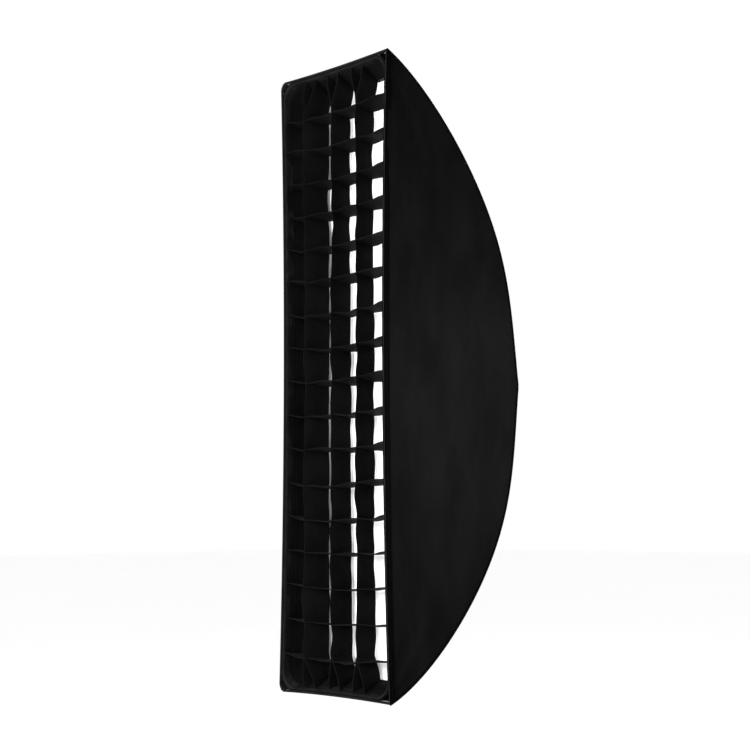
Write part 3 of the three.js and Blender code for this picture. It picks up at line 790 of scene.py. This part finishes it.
def seam_piping():
    """Rolled corner seams with a row of stitches on each side."""
    t = np.linspace(0.002, 0.998, 260)
    line = seam(t)
    outward = -seam_normal(t)
    upper = line + outward * 0.5 * MM + [0.5 * MM, 0, 0]
    around = np.linspace(-RIM_ANGLE, RIM_ANGLE, 14)[1:-1]
    reach, back = upper[0][[0, 1]]
    sagitta = RIM * (math.cos(RIM_ANGLE) - np.cos(around))
    rim = np.stack([reach - sagitta, 0 * around + back, RIM * np.sin(around)], -1)
    whole = np.concatenate([upper[::-1] * [1, 1, -1], rim, upper])
    lines = {"right": whole}
    # on the left in two, so that the lock screw passes between, and shorter, as the mouth is round there
    for end, place in ((1, "left_top"), (-1, "left_bottom")):
        lines[place] = upper[:-5] * [-1, 1, end]
    for place, points in lines.items():
        placed(tube(f"corner_seam_{place}", points, 1.5 * MM, NYLON_SIDE), "softbox", "black_cloth")
    rows = []
    for _, x, z in CORNERS:
        flip = np.array([x, 1, z])
        y = line[3:, 1] - 4.5 * MM
        heights = line[3:, 2]
        keep = y > FRONT + HEM
        rows.append(side_line(y[keep], heights[keep] * z, x))
        inner = line - [4.5 * MM, 0, 0] + outward * (0.3 * MM)
        rows.append((inner[8:-8] * flip, outward[8:-8] * flip))
    sewn("corner_seam_stitches", rows)


def tape_stitches():
    """Stitches on the outside where the loop tapes are sewn on inside."""
    rows = []
    low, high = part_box("diffuser_loop_tape")
    for depth in (low.y + 2 * MM, high.y - 2 * MM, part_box("grid_loop_tape")[1].y - 1.5 * MM):
        t_end = float(seam_t_at_y(depth))
        z_end = float(seam(t_end)[2]) - 4 * MM
        for side in (1, -1):
            z = np.linspace(-z_end, z_end, 400)
            rows.append(side_line(np.full(len(z), depth), z, side))
        for end in (1, -1):
            u = np.linspace(-0.96, 0.96, 60)
            grid = end_grid(np.array([t_end]), u)[0]
            normal = -seam_normal(np.full(len(u), t_end))
            lift = end_wrinkles(np.full(len(u), t_end), grid[:, 0], 2.0 + end)
            rows.append(((grid + normal * lift[:, None]) * [1, 1, end], normal * [1, 1, end]))
    sewn("tape_stitches", rows)


def loop_line(y, inset, radius):
    """Points and outward normals of a closed loop inside the shell; radius is (left, right)."""
    left, right = ring(y, inset, radius[0]), ring(y, inset, radius[1])
    loop = np.where(left[:, :1] > 0, right, left)
    normal = ring_normals(loop)
    return (
        np.stack([loop[:, 0], np.full(len(loop), y), loop[:, 1]], -1),
        np.stack([normal[:, 0], np.zeros(len(loop)), normal[:, 1]], -1),
    )


def strip_loop(sections, radius):
    """Points grid of a binding: sections are (inset, depth behind the mouth), joined to a ring."""
    rows = []
    for inset, depth in sections:
        points, _ = loop_line(FRONT + max(depth, 0), inset, radius)
        points[:, 1] = FRONT + depth
        rows.append(points)
    return np.stack(rows, 1)


def closed_sweep(name, grid, materials, outer=0):
    """A tube of grid rows, closed both ways; the first outer columns take the second material."""
    rows, columns = grid.shape[:2]
    faces, indices = [], []
    for i in range(rows):
        for j in range(columns):
            k, far = (j + 1) % columns, (i + 1) % rows
            faces.append((i * columns + j, far * columns + j, far * columns + k, i * columns + k))
            indices.append(1 if j < outer else 0)
    piece = finish_mesh(name, grid.reshape(-1, 3), faces, materials, indices, sharp=60)
    recalculate_normals(piece)
    return piece


def mouth_hem():
    """Binding folded over the mouth's edge, thicker at its bead, with its stitches."""
    sections = [
        (-0.5, 14.0), (-0.7, 13.2), (-0.7, 8), (-0.6, 4.2), (-0.9, 3.0), (-0.9, 1.5), (-0.5, 0.4),
        (0.2, 0.0), (0.9, 0.3), (1.4, 1.4), (1.3, 3.0), (1.1, 4.2), (1.2, 9), (1.2, 13.2), (0.9, 14.0),
        (0.2, 14.0),
    ]
    grid = strip_loop(scaled(sections), MOUTH_CORNERS)
    along = lengths(grid[:, 0])
    ripple = 0.25 * MM * np.sin(along / 0.0065) + 0.3 * MM * np.sin(along / 0.021 + 1)
    grid[:, 2:4, 0] += (np.sign(grid[:, 2:4, 0]).T * ripple * 0.4).T
    # the binding's outside faces take the darker copy of the binding, which is painted shade
    piece = closed_sweep("mouth_binding", grid, [BINDING, BINDING_PAINTED_SHADE], outer=6)
    placed(piece, "softbox", "black_tape", "front_hem")
    rows = []
    for inset, depth in ((-0.75, 5.5), (-0.75, 11.5)):
        points, normals = loop_line(FRONT + depth * MM, inset * MM, MOUTH_CORNERS)
        rows.append((points, normals, True))
    sewn("mouth_binding_stitches", rows)
    corner_mitres(grid)


def corner_mitres(binding):
    """Ridge of each mitred corner: the binding's own section at the corner, sewn down."""
    x, z = binding[:, 0, 0], binding[:, 0, 2]
    for place, side, end in CORNERS:
        row = binding[np.argmin(np.hypot(x * side - HALF_WIDTH, z * end - HALF_HEIGHT))]
        ridge = tube(f"corner_mitre_{place}", row, 0.55 * MM, BINDING, closed=True)
        placed(ridge, "softbox", "black_tape")


def corner_webs():
    """Cloth that closes each corner of the mouth, outside the path of the grid."""
    y = FRONT + 6 * MM
    outer, _ = loop_line(y, 1.4 * MM, MOUTH_CORNERS)
    inner, _ = loop_line(y, BORDER_INSET - 1.9 * MM, GRID_CORNERS)
    for place, side, end in CORNERS:
        gap = np.hypot(outer[:, 0] * side - HALF_WIDTH, outer[:, 2] * end - HALF_HEIGHT)
        chosen = np.sort(np.where(gap < WEB_REACH)[0])
        share = np.linspace(0, 1, 5)[None, :, None]
        grid = outer[chosen][:, None] * (1 - share) + inner[chosen][:, None] * share
        # the webs take the darker copy of the binding, which is painted shade
        piece = sheet_piece(f"corner_web_{place}", grid, 0.6 * MM, [BINDING_PAINTED_SHADE])
        placed(piece, "softbox", "black_tape")


def sewn_tapes():
    """Loop tapes inside the shell, for the grid and for the front diffuser."""
    for node, name in (("grid_loop_tape", "grid_loop"), ("diffuser_loop_tape", "diffuser_loop")):
        low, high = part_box(node)
        depths = np.linspace(low.y, high.y, 5)
        piece = sheet_piece(name, band(depths, TAPE_INSET, GRID_CORNER), TAPE_THICKNESS, [TAPE], loop=True)
        placed(piece, "softbox", "black_tape", node)


# ---- grid ----------------------------------------------------------------------------------------
CROSS_AT = [(k - (CROSS_STRIPS - 1) / 2) * GRID_PITCH for k in range(CROSS_STRIPS)]
LONG_AT = [(k - (LONG_STRIPS - 1) / 2) * GRID_PITCH for k in range(LONG_STRIPS)]


def border_lift(along, share):
    """Long soft pleats of the border cloth, deeper towards its free front edge."""
    drift = 0.9 * np.sin(along / 0.11) + 0.5 * np.sin(along / 0.043 + 2)
    pleat = 0.5 * MM * (1 + np.sin(9 * share + drift)) * math.sin(math.pi * share)
    clear = 0.9 * MM * share  # the shell's wrinkles reach further in behind the mouth
    gather = 0.35 * MM * (1 + np.sin(along / 0.0135 + 1.5 * np.sin(along / 0.07)))
    return clear + pleat + gather * (1 - share)


def grid_border():
    depths = np.linspace(GRID_FRONT + 1 * MM, GRID_REAR, 16)
    grid = band(depths, BORDER_INSET, GRID_CORNER, border_lift)
    piece = sheet_piece("grid_border_cloth", grid, -1.0 * MM, [NYLON_STRIP], loop=True)
    placed(piece, "grid", "black_tape", "grid_border")
    base = (GRID_FRONT - FRONT) / MM
    sections = [
        (3.4, 14), (3.3, 8), (3.3, 2), (3.5, 0.4), (4.0, 0), (4.6, 0.5),
        (5.1, 2), (4.9, 5), (5.2, 8), (5.0, 11), (5.1, 13.4), (4.6, 14.2),
    ]
    binding = strip_loop(scaled([(inset, base + depth) for inset, depth in sections]), GRID_CORNERS)
    placed(closed_sweep("grid_edge_binding", binding, [BINDING]), "grid", "black_tape")
    rows = []
    for inset, depth in ((5.1, base + 3.4), (5.2, base + 6.6), (5.2, base + 12.0)):
        points, normals = loop_line(FRONT + depth * MM, inset * MM, GRID_CORNERS)
        rows.append((points, -normals, True))
    for depth in (18, 33):
        points, normals = loop_line(GRID_FRONT + depth * MM, BORDER_INSET + 1.7 * MM, GRID_CORNERS)
        rows.append((points, -normals, True))
    sewn("grid_edge_stitches", rows, "grid")


def cell_wave(at, knots, values, bulges):
    """Offset along a strip: values at the crossings, and a bulge in each cell between them."""
    cell = np.clip(np.searchsorted(knots, at, side="right") - 1, 0, len(knots) - 2)
    start, stop = knots[cell], knots[cell + 1]
    share = np.clip((at - start) / (stop - start), 0, 1)
    eased = smooth(share)
    return values[cell] * (1 - eased) + values[cell + 1] * eased + bulges[cell] * np.sin(math.pi * share) ** 2


def rolls(count, size, centre=0.0):
    return np.array([centre + dice.uniform(-size, size) for _ in range(count)])


def strip_grid(at, knots, front, rear, edge):
    """Offsets and depths of a slack strip: rows along it, nine columns from front to rear."""
    share = np.linspace(0, 1, 9)
    ahead = cell_wave(at, knots, *front)
    behind = cell_wave(at, knots, *rear)
    curl = 0.6 * MM * np.sin(at / 0.011 + edge)
    offset = ahead[:, None] * (1 - share) + behind[:, None] * share
    offset = offset + curl[:, None] * np.sin(math.pi * share)
    wave = 0.5 * MM * np.sin(at / 0.0093 + edge) + 0.7 * MM * np.sin(at / 0.027 + 2 * edge)
    depth = (GRID_FRONT + 2.5 * MM + wave)[:, None] * (1 - share)
    depth = depth + (GRID_REAR - 0.6 * MM - 0.5 * wave)[:, None] * share
    return offset, depth


LEAN_FRONT = (-0.0106, -0.0048, -0.004)  # how far each slack long strip hangs over to one side
END_LEAN = (-0.006, -0.001, 0)  # more of the same near the top and bottom
LEAN_REAR = (0.0016, -0.0014, -0.0045)
TENT = 0.009  # how far the two layers of a long strip stand apart where they reach the end wall


def long_strip(number, x):
    knots = np.array([-STRIP_REACH, *CROSS_AT, STRIP_REACH])
    count = len(knots)
    last = CROSS_AT[-1] + 3 * MM
    at = np.linspace(-last, last, 330)
    flare = END_LEAN[number - 1] * (knots / HALF_HEIGHT) ** 2
    front = (rolls(count, 1.5 * MM, LEAN_FRONT[number - 1]) + flare, rolls(count - 1, 2.9 * MM))
    rear = (rolls(count, 1.0 * MM, LEAN_REAR[number - 1]), rolls(count - 1, 2.1 * MM))
    offset, depth = strip_grid(at, knots, front, rear, 1.7 * number)
    grids = [np.stack([x + offset, depth, at[:, None] + 0 * offset], -1)]
    for end in (1, -1):
        for side in (1, -1):
            grids.append(tent_layer(x, end, side, offset[-1 if end > 0 else 0], 1.0 + 0.25 * dice.random()))
    piece = sheet_piece(f"grid_long_{number}", grids, STRIP, [NYLON_STRIP], away=(x - 0.5, -0.3, 0))
    placed(piece, "grid", "black_cloth", f"grid_long_strip_{number}")


def tent_layer(x, end, side, start, flare):
    """One of the two layers in which a long strip ends: they part and are sewn to the end wall."""
    share = np.linspace(0, 1, 14)[:, None]
    across = np.linspace(0, 1, 9)[None, :]
    depth = (GRID_FRONT + 2.5 * MM) * (1 - across) + (GRID_REAR - 1 * MM) * across
    u = np.clip(x / HALF_WIDTH, -1, 1)
    wall, slope = end_z(depth, u)
    stop = wall - slope * (BORDER_INSET + 2.2 * MM)
    first = CROSS_AT[-1] + 1.5 * MM
    z = first + (stop - first) * share
    spread = side * TENT * flare * (1 - 0.45 * across) * smooth(share) + start[None, :] * (1 - share)
    pull = 1.6 * MM * np.sin(math.pi * share) * side
    return np.stack([x + spread + pull + 0.5 * MM * side, depth + 0 * z, end * z], -1)


SAG = np.array([-1.5, -6.5, -7.5, -5.5, -1.5]) * MM  # a cross strip's height at its ends and crossings
REAR_SAG = -0.0038  # mean further drop of its rear edge at the ends and crossings


def cross_strip(number, z):
    start = float(side_x(GRID_FRONT, z)) - BORDER_INSET - 1.6 * MM
    knots = np.array([-start, *LONG_AT, start])
    at = np.linspace(-start, start, 110)
    slack = dice.uniform(0.8, 1.15)
    front = (rolls(5, 1.3 * MM) + slack * SAG, rolls(4, 3.0 * MM, -0.8 * MM))
    rear = (rolls(5, 1.3 * MM, REAR_SAG) + slack * SAG, rolls(4, 2.6 * MM, -0.8 * MM))
    offset, depth = strip_grid(at, knots, front, rear, 0.9 * number)
    reach = side_x(depth, z) - BORDER_INSET - 1.4 * MM
    x = np.clip(at[:, None] * (reach / start), -reach, reach)
    grid = np.stack([x, depth, z + offset], -1)
    piece = sheet_piece(f"grid_cross_{number:02d}", grid, STRIP, [NYLON_CROSS], away=(0, -0.3, z - 0.5))
    placed(piece, "grid", "black_cloth", f"grid_cross_strip_{number:02d}")


def egg_crate():
    grid_border()
    for k, x in enumerate(LONG_AT):
        long_strip(k + 1, x)
    for k, z in enumerate(CROSS_AT):
        cross_strip(k + 1, z)


# ---- diffusers -----------------------------------------------------------------------------------
def cloth_panel(name, y, half_height, half_width_at, material, waves, rows=170, columns=34):
    """A flat sheet across the softbox with a few soft waves."""
    spread = np.sin(np.linspace(-1, 1, rows) * math.pi / 2)
    z = spread[:, None] * half_height
    x = np.linspace(-1, 1, columns)[None, :] * half_width_at(z)
    edge = 1 - (x / half_width_at(z)) ** 2
    points = np.stack([x, 0 * x, z + 0 * x], -1)
    lift = waves * soft_noise(points * [1.4, 1, 0.22], 0.045, 2.0) * edge * (1 - spread[:, None] ** 6)
    grid = np.stack([x, y + lift, z + 0 * x], -1)
    return sheet_piece(name, grid, 0.6 * MM, [material], away=(0, y + 1, 0))


def front_diffuser():
    z_top, slope = end_z(DIFFUSER, 1.0)
    inset = 5.2 * MM
    half_height = float(z_top - slope * inset) - 2.5 * MM

    def half_width(z):
        start = half_height - GRID_CORNER
        past = np.clip((np.abs(z) - start) / GRID_CORNER, 0, 1)
        side = side_x(DIFFUSER, np.minimum(np.abs(z), start)) - inset
        return side - GRID_CORNER * (1 - np.sqrt(1 - 0.999 * past ** 2))

    cloth = cloth_panel("diffuser_front_cloth", DIFFUSER, half_height, half_width, WHITE, 1.6 * MM)
    placed(cloth, "front_diffuser", "white_cloth", "front_diffuser_cloth")
    depths = np.linspace(DIFFUSER - 1.5 * MM, DIFFUSER_REAR, 8)
    wall = band(depths, 4.4 * MM, GRID_CORNER)
    border = sheet_piece("diffuser_front_border", wall, 0.7 * MM, [WHITE], loop=True)
    placed(border, "front_diffuser", "white_cloth", "front_diffuser_border")
    strip = band(depths[1:], 3.7 * MM, GRID_CORNER)
    hook = sheet_piece("diffuser_hook_tape", strip, TAPE_THICKNESS, [TAPE], loop=True)
    placed(hook, "front_diffuser", "black_tape")
    rows = []
    for depth in (4, 20):
        points, normals = loop_line(DIFFUSER + depth * MM, 5.15 * MM, GRID_CORNERS)
        rows.append((points, -normals, True))
    sewn("diffuser_border_stitches", rows, "front_diffuser", white=True)


def inner_diffuser():
    low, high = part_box("inner_diffuser_hem")
    width, height = high.x, high.z

    def half_width(z):
        return width - 1 * MM + 0 * z

    cloth = cloth_panel("diffuser_inner_cloth", INNER_DIFFUSER, height - 1 * MM, half_width, WHITE, 2.5 * MM)
    placed(cloth, "inner_diffuser", "white_cloth", "inner_diffuser_cloth")
    outline = rectangle_loop(width - 4 * MM, height - 4 * MM, 6 * MM, INNER_DIFFUSER)
    section = [(-1.4 * MM, -4 * MM), (-1.4 * MM, 4 * MM), (1.4 * MM, 4 * MM), (1.4 * MM, -4 * MM)]
    up = np.tile([0.0, 1.0, 0.0], (len(outline), 1))
    part = swept(outline, section, closed=True, up=up)
    hem = finish_mesh("diffuser_inner_hem", part[0], part[1], [WHITE])
    recalculate_normals(hem)
    add_bevel(hem, 0.6 * MM)
    placed(hem, "inner_diffuser", "white_cloth", "inner_diffuser_hem")
    normals = np.tile([0.0, -1.0, 0.0], (len(outline), 1))
    face = outline + [0, -1.4 * MM, 0]
    sewn("inner_hem_stitches", [(face, normals, True)], "inner_diffuser", white=True)
    for place, x, _ in CORNERS:
        elastic_strap(place, x)


def rectangle_loop(half_width, half_height, radius, y):
    points = []
    for quarter, (cx, cz) in enumerate([(1, 1), (-1, 1), (-1, -1), (1, -1)]):
        for k in range(7):
            angle = math.pi / 2 * (quarter + k / 6)
            points.append((
                cx * (half_width - radius) + radius * math.cos(angle),
                y,
                cz * (half_height - radius) + radius * math.sin(angle),
            ))
    return np.array(points)


def elastic_strap(place, x):
    """Elastic strap from the inner diffuser's hem to a press stud on the shell."""
    low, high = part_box(f"inner_diffuser_strap_{place}")
    middle = (low + high) / 2
    inner = min(abs(low.x), abs(high.x)) - 9 * MM
    outer = max(abs(low.x), abs(high.x)) + 0.8 * MM
    along = np.linspace(inner, outer, 14)
    width = np.linspace(-7.5 * MM, 7.5 * MM, 9)
    gather = 0.5 * MM * np.sin(along / 0.0011)
    points = [
        [(x * reach, middle.y - 1.9 * MM + fold * 0.4, middle.z + across) for across in width]
        for reach, fold in zip(along, gather)
    ]
    strap = sheet_piece(f"elastic_strap_{place}", np.array(points), 0.9 * MM, [TAPE], away=(0, 0.5, middle.z))
    placed(strap, "inner_diffuser", "black_tape", f"inner_diffuser_strap_{place}")
    stud = stud_piece(f"press_stud_{place}", (x * (inner + 5 * MM), middle.y - 2.8 * MM, middle.z))
    placed(stud, "inner_diffuser", "plated")


def stud_piece(name, centre):
    profile = [(0, 0), (4.2, 0), (5.0, 0.3), (5.0, 0.7), (4.0, 1.3), (2.6, 1.5), (2.0, 1.0), (0, 0.9)]
    turns = 28
    vertices = []
    for k in range(turns):
        angle = 2 * math.pi * k / turns
        for radius, height in profile[1:-1]:
            vertices.append((
                centre[0] + radius * MM * math.cos(angle),
                centre[1] - height * MM,
                centre[2] + radius * MM * math.sin(angle),
            ))
    sides = len(profile) - 2
    faces = [tuple(k * sides for k in range(turns)), tuple(k * sides + sides - 1 for k in range(turns))[::-1]]
    for k in range(turns):
        near, far = k * sides, ((k + 1) % turns) * sides
        faces += [(near + j, near + j + 1, far + j + 1, far + j) for j in range(sides - 1)]
    piece = finish_mesh(name, vertices, faces, [MACHINED], sharp=35)
    recalculate_normals(piece)
    return piece


# ---- speedring and rods --------------------------------------------------------------------------
def speedring():
    body = [
        (56, -12.6), (60.5, -12.6), (60.5, -19.4), (61.1, -20), (73, -20), (74, -19), (74, -14.2),
        (73.2, -13.4), (73.2, -7.4), (74, -6.6), (74, -1.6), (73, -0.6), (66.4, -0.6), (66.4, -3.4),
        (56, -3.4),
    ]
    placed(lathe("speedring", scaled(body), CAST), "softbox", "cast_black", "speedring_body")
    insert = [
        (47.5, -12.6), (47.9, -13), (55.2, -13), (55.6, -12.6), (55.6, -3), (65.6, -3), (66, -2.6),
        (66, -0.4), (65.6, 0), (56, 0), (56, -0.8), (50, -0.8), (50, 11.4), (49.4, 12), (48.1, 12),
        (47.5, 11.4),
    ]
    seat = placed(lathe("bayonet_collar", scaled(insert), MACHINED, bevel=0.2 * MM), "bayonet", "plated")
    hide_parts("bayonet_insert")
    lug = scaled([(49.2, 9.6), (54.5, 9.6), (54.5, 11.8), (49.2, 11.8)])
    for k in range(3):
        piece = lathe(f"bayonet_lug_{k + 1}", lug, MACHINED, start=73 + 120 * k, sweep=34)
        placed(piece, "bayonet", "plated")
    retainer = scaled([(48, -15.3), (60, -15.3), (60, -13.3), (48, -13.3)])
    placed(lathe("insert_retainer", retainer, MACHINED), "bayonet", "plated", "retaining_ring")


def rod_path():
    """Centre line of the rod in the quadrant of +X and +Z, from its socket to its tip."""
    t = np.linspace(0.03, 0.965, 13)
    near = np.maximum(0, 1 - (t - 0.03) / 0.4) ** 2
    line = seam(t) + seam_normal(t) * (0.006 + 0.015 * near)[:, None]
    line[:, 0] -= 0.006 + 0.012 * near
    spline = densify(line, 120)
    for _ in range(40):
        spline[1:-1] = (spline[:-2] + 2 * spline[1:-1] + spline[2:]) / 4
    return spline


def rods():
    path = rod_path()
    for place, x, z in CORNERS:
        flip = np.array([x, 1, z])
        low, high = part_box(f"rod_socket_{place}")
        socket = Vector(((low.x + high.x) / 2, (low.y + high.y) / 2 - 0.4 * MM, (low.z + high.z) / 2))
        points = np.concatenate([[np.array(socket)], path[6:] * flip])
        points = densify(points, 150)
        placed(tube(f"spring_rod_{place}", points, 2.25 * MM, STEEL), "softbox", "rod_steel", f"rod_{place}")
        ferrule = densify(path[8:22] * flip, 24)
        scale = np.interp(np.linspace(0, 1, len(ferrule)), [0, 0.08, 0.9, 1], [0.85, 1, 1, 0.8])
        placed(tube(f"rod_ferrule_{place}", ferrule, 3.0 * MM, PLASTIC, scale=scale), "softbox", "moulded")
        tip = densify(path[-9:] * flip, 20)
        cap = np.interp(np.linspace(0, 1, len(tip)), [0, 0.1, 0.8, 0.95, 1], [0.9, 1, 1, 0.75, 0.3])
        placed(tube(f"rod_tip_{place}", tip, 2.65 * MM, PLASTIC, scale=cap), "softbox", "moulded")
        pocket = densify(path[-22:] * flip + [0, -1.2 * MM, 0], 26)
        puff = 1 + 0.06 * np.sin(np.linspace(0, 9, len(pocket)))
        placed(tube(f"pocket_{place}", pocket, 3.9 * MM, TAPE, scale=puff), "softbox", "black_tape",
               f"corner_pocket_{place}")


def carried_nodes():
    """CAD pieces that keep their own shape, with their finish and a soft edge."""
    finishes = {
        "lock_screw": MACHINED,
        "lock_pad": NYLON_WHITE,
        "lock_knob": PLASTIC,
        **{f"rod_socket_{place}": MACHINED for place, _, _ in CORNERS},
        **{f"retaining_screw_{k}": MACHINED for k in (1, 2, 3)},
    }
    for name, material in finishes.items():
        piece = nodes[name]
        piece.data.materials.clear()
        piece.data.materials.append(material)
        add_bevel(piece, 0.4 * MM)


def rear_collar():
    """Rolled cloth edge round the speedring."""
    roll = [
        (74.3, -12), (75.8, -12), (76.6, -9), (77.6, -5.4), (77.4, -3.6), (76.2, -2.6), (74.9, -3.0),
        (74.3, -4.6),
    ]
    piece = lathe("rim_roll", scaled(roll), NYLON_END, segments=180, bevel=0.5 * MM)
    placed(piece, "softbox", "black_tape", "rear_collar")


# ---- flaps over the rod sockets ------------------------------------------------------------------
FLAP_HALF_WIDTH = 0.056


def flap_point(x, z, height):
    t = seam_t_at_z(z)
    u = x / seam(t)[..., 0]
    normal = seam_normal(t)
    return end_surface(x, z) + normal * (end_dip(t, u) - height)[..., None]


def flap_line(x, z, height, end):
    """Points at a height above an end panel, and their outward normals."""
    mirror = [1, 1, end]
    return flap_point(x, z, height) * mirror, -seam_normal(seam_t_at_z(z)) * mirror


def socket_flap(end, place):
    low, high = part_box(f"socket_flap_{place}")
    first = min(abs(low.z), abs(high.z))
    last = max(abs(low.z), abs(high.z))
    z = np.linspace(first, last, 40)[:, None]
    x = np.linspace(-FLAP_HALF_WIDTH, FLAP_HALF_WIDTH, 60)[None, :]
    x, z = np.broadcast_arrays(x, z)
    edge = smooth((z - first) / 0.012)
    waves = 0.5 * MM * soft_noise(np.stack([x, z, 0 * x + end], -1), 0.022)
    points = flap_point(x, z, 3.4 * MM + waves + 0.4 * MM * (1 - edge))
    piece = sheet_piece(f"flap_{place}", points * [1, 1, end], 1.0 * MM, [NYLON_END])
    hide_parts(f"socket_flap_{place}")
    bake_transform(piece)
    inset = 4 * MM
    border = [
        (np.linspace(-FLAP_HALF_WIDTH + inset, FLAP_HALF_WIDTH - inset, 40), np.full(40, first + inset)),
        (np.full(20, FLAP_HALF_WIDTH - inset), np.linspace(first + inset, last - 12 * MM, 20)),
        (np.full(20, -FLAP_HALF_WIDTH + inset), np.linspace(first + inset, last - 12 * MM, 20)),
    ]
    rows = [flap_line(xs, zs, 3.5 * MM, end) for xs, zs in border]
    sewn(f"flap_{place}_stitches", rows, f"socket_flap_{place}")
    across = np.linspace(-0.050, 0.050, 30)
    x, z = np.meshgrid(across, np.linspace(first + 0.8 * MM, first + 4.3 * MM, 4), indexing="ij")
    strip = flap_point(x, z, 2.6 * MM) * [1, 1, end]
    hook = sheet_piece(f"flap_{place}_hook_tape", strip, 0.7 * MM, [TAPE])
    placed(hook, f"socket_flap_{place}", "black_tape")
    access_frame(end, place)


def access_frame(end, place):
    """Bound edge of the opening under a flap, and the stitches along the flap's sewn edge."""
    x, low, high = ACCESS["x"], ACCESS["low"], ACCESS["high"]
    corner = 5 * MM
    flat = rectangle_loop(x + 1 * MM, (high - low) / 2 + 1 * MM, corner, 0.0)
    flat = densify(np.concatenate([flat, flat[:1]]), 160)[:-1]
    xs, zs = flat[:, 0], flat[:, 2] + (low + high) / 2
    line, normal = flap_line(xs, zs, 0.6 * MM, end)
    section = [(0.7 * MM, -3 * MM), (0.7 * MM, 3 * MM), (-2.0 * MM, 3 * MM), (-2.0 * MM, -3 * MM)]
    part = swept(line, section, closed=True, up=normal)
    piece = finish_mesh(f"access_binding_{place}", part[0], part[1], [BINDING])
    recalculate_normals(piece)
    placed(piece, "softbox", "black_tape")
    xs = np.linspace(-FLAP_HALF_WIDTH + 2 * MM, FLAP_HALF_WIDTH - 2 * MM, 40)
    zs = np.full(40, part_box("socket_flap_top")[1].z - 3 * MM)
    sewn(f"flap_{place}_seam", [flap_line(xs, zs, 3.5 * MM, end)])


# ---- stage ---------------------------------------------------------------------------------------
CAMERA = {"azimuth": 44.26, "elevation": -6.035, "distance": 2.0347, "roll": -0.25, "lens": 66.37}
AIM = (0, FRONT + 0.1, 0.00696)  # the camera looks this far behind the mouth, and a little to its left
AIM_SHIFT = 0.0085
FLOOR_HEIGHT = -1.05
FLOOR_REACH = 30


def camera():
    """Camera at the photograph's angle: to the right of the mouth and a little below its middle."""
    azimuth, elevation = math.radians(CAMERA["azimuth"]), math.radians(CAMERA["elevation"])
    back = Vector((
        math.sin(azimuth) * math.cos(elevation),
        -math.cos(azimuth) * math.cos(elevation),
        math.sin(elevation),
    ))
    right = Vector((math.cos(azimuth), math.sin(azimuth), 0))
    target = Vector(AIM) - right * AIM_SHIFT
    data = bpy.data.cameras.new("camera")
    data.lens = CAMERA["lens"]
    data.sensor_width = 36
    data.clip_start, data.clip_end = 0.05, 100
    view = bpy.data.objects.new("camera", data)
    bpy.context.scene.collection.objects.link(view)
    turn = (-back).to_track_quat("-Z", "Y").to_matrix().to_4x4()
    roll = Matrix.Rotation(math.radians(CAMERA["roll"]), 4, "Z")
    view.matrix_world = Matrix.Translation(target + back * CAMERA["distance"]) @ turn @ roll
    bpy.context.scene.camera = view


def lamp(name, place, target, size, power, spread=180):
    data = bpy.data.lights.new(name, "AREA")
    data.shape = "DISK"
    data.size = size
    data.energy = power
    data.spread = math.radians(spread)
    light = bpy.data.objects.new(name, data)
    light.location = place
    direction = Vector(target) - Vector(place)
    light.rotation_euler = direction.to_track_quat("-Z", "Y").to_euler()
    bpy.context.scene.collection.objects.link(light)


def stage():
    world = bpy.data.worlds.new("studio")
    world.use_nodes = True
    background = world.node_tree.nodes["Background"]
    background.inputs["Color"].default_value = (1.0, 1.0, 1.0, 1)
    background.inputs["Strength"].default_value = 1.0
    bpy.context.scene.world = world
    scene = bpy.context.scene
    scene.view_settings.view_transform = "Standard"
    paint = Finish("floor_paint", (0.975, 0.975, 0.975), 0.9, specular=0.1)
    paint.tint(paint.noise(2.0, 2.0), 0.99, 1.0)
    signs = [(-1, -1), (1, -1), (1, 1), (-1, 1)]
    corners = [(x * FLOOR_REACH, y * FLOOR_REACH, FLOOR_HEIGHT) for x, y in signs]
    floor = finish_mesh("floor", corners, [(0, 1, 2, 3)], [paint.material])
    lamp("key", (0.2, -3.4, 0.6), (0, -0.3, 0), 1.8, 190)
    lamp("side", (0.72, 0.28, -0.03), (0.09, -0.11, -0.02), 0.4, 1.7, 70)
    lamp("top", (-0.6, -1.4, 2.6), (0, -0.2, 0.2), 1.4, 40)
    lamp("rear", (-1.3, 2.3, 1.1), (0, -0.1, 0), 1.6, 190)


# ---- build ---------------------------------------------------------------------------------------
shell()
seam_piping()
tape_stitches()
mouth_hem()
corner_webs()
sewn_tapes()
egg_crate()
front_diffuser()
inner_diffuser()
speedring()
rear_collar()
rods()
carried_nodes()
socket_flap(1, "top")
socket_flap(-1, "bottom")
camera()
stage()
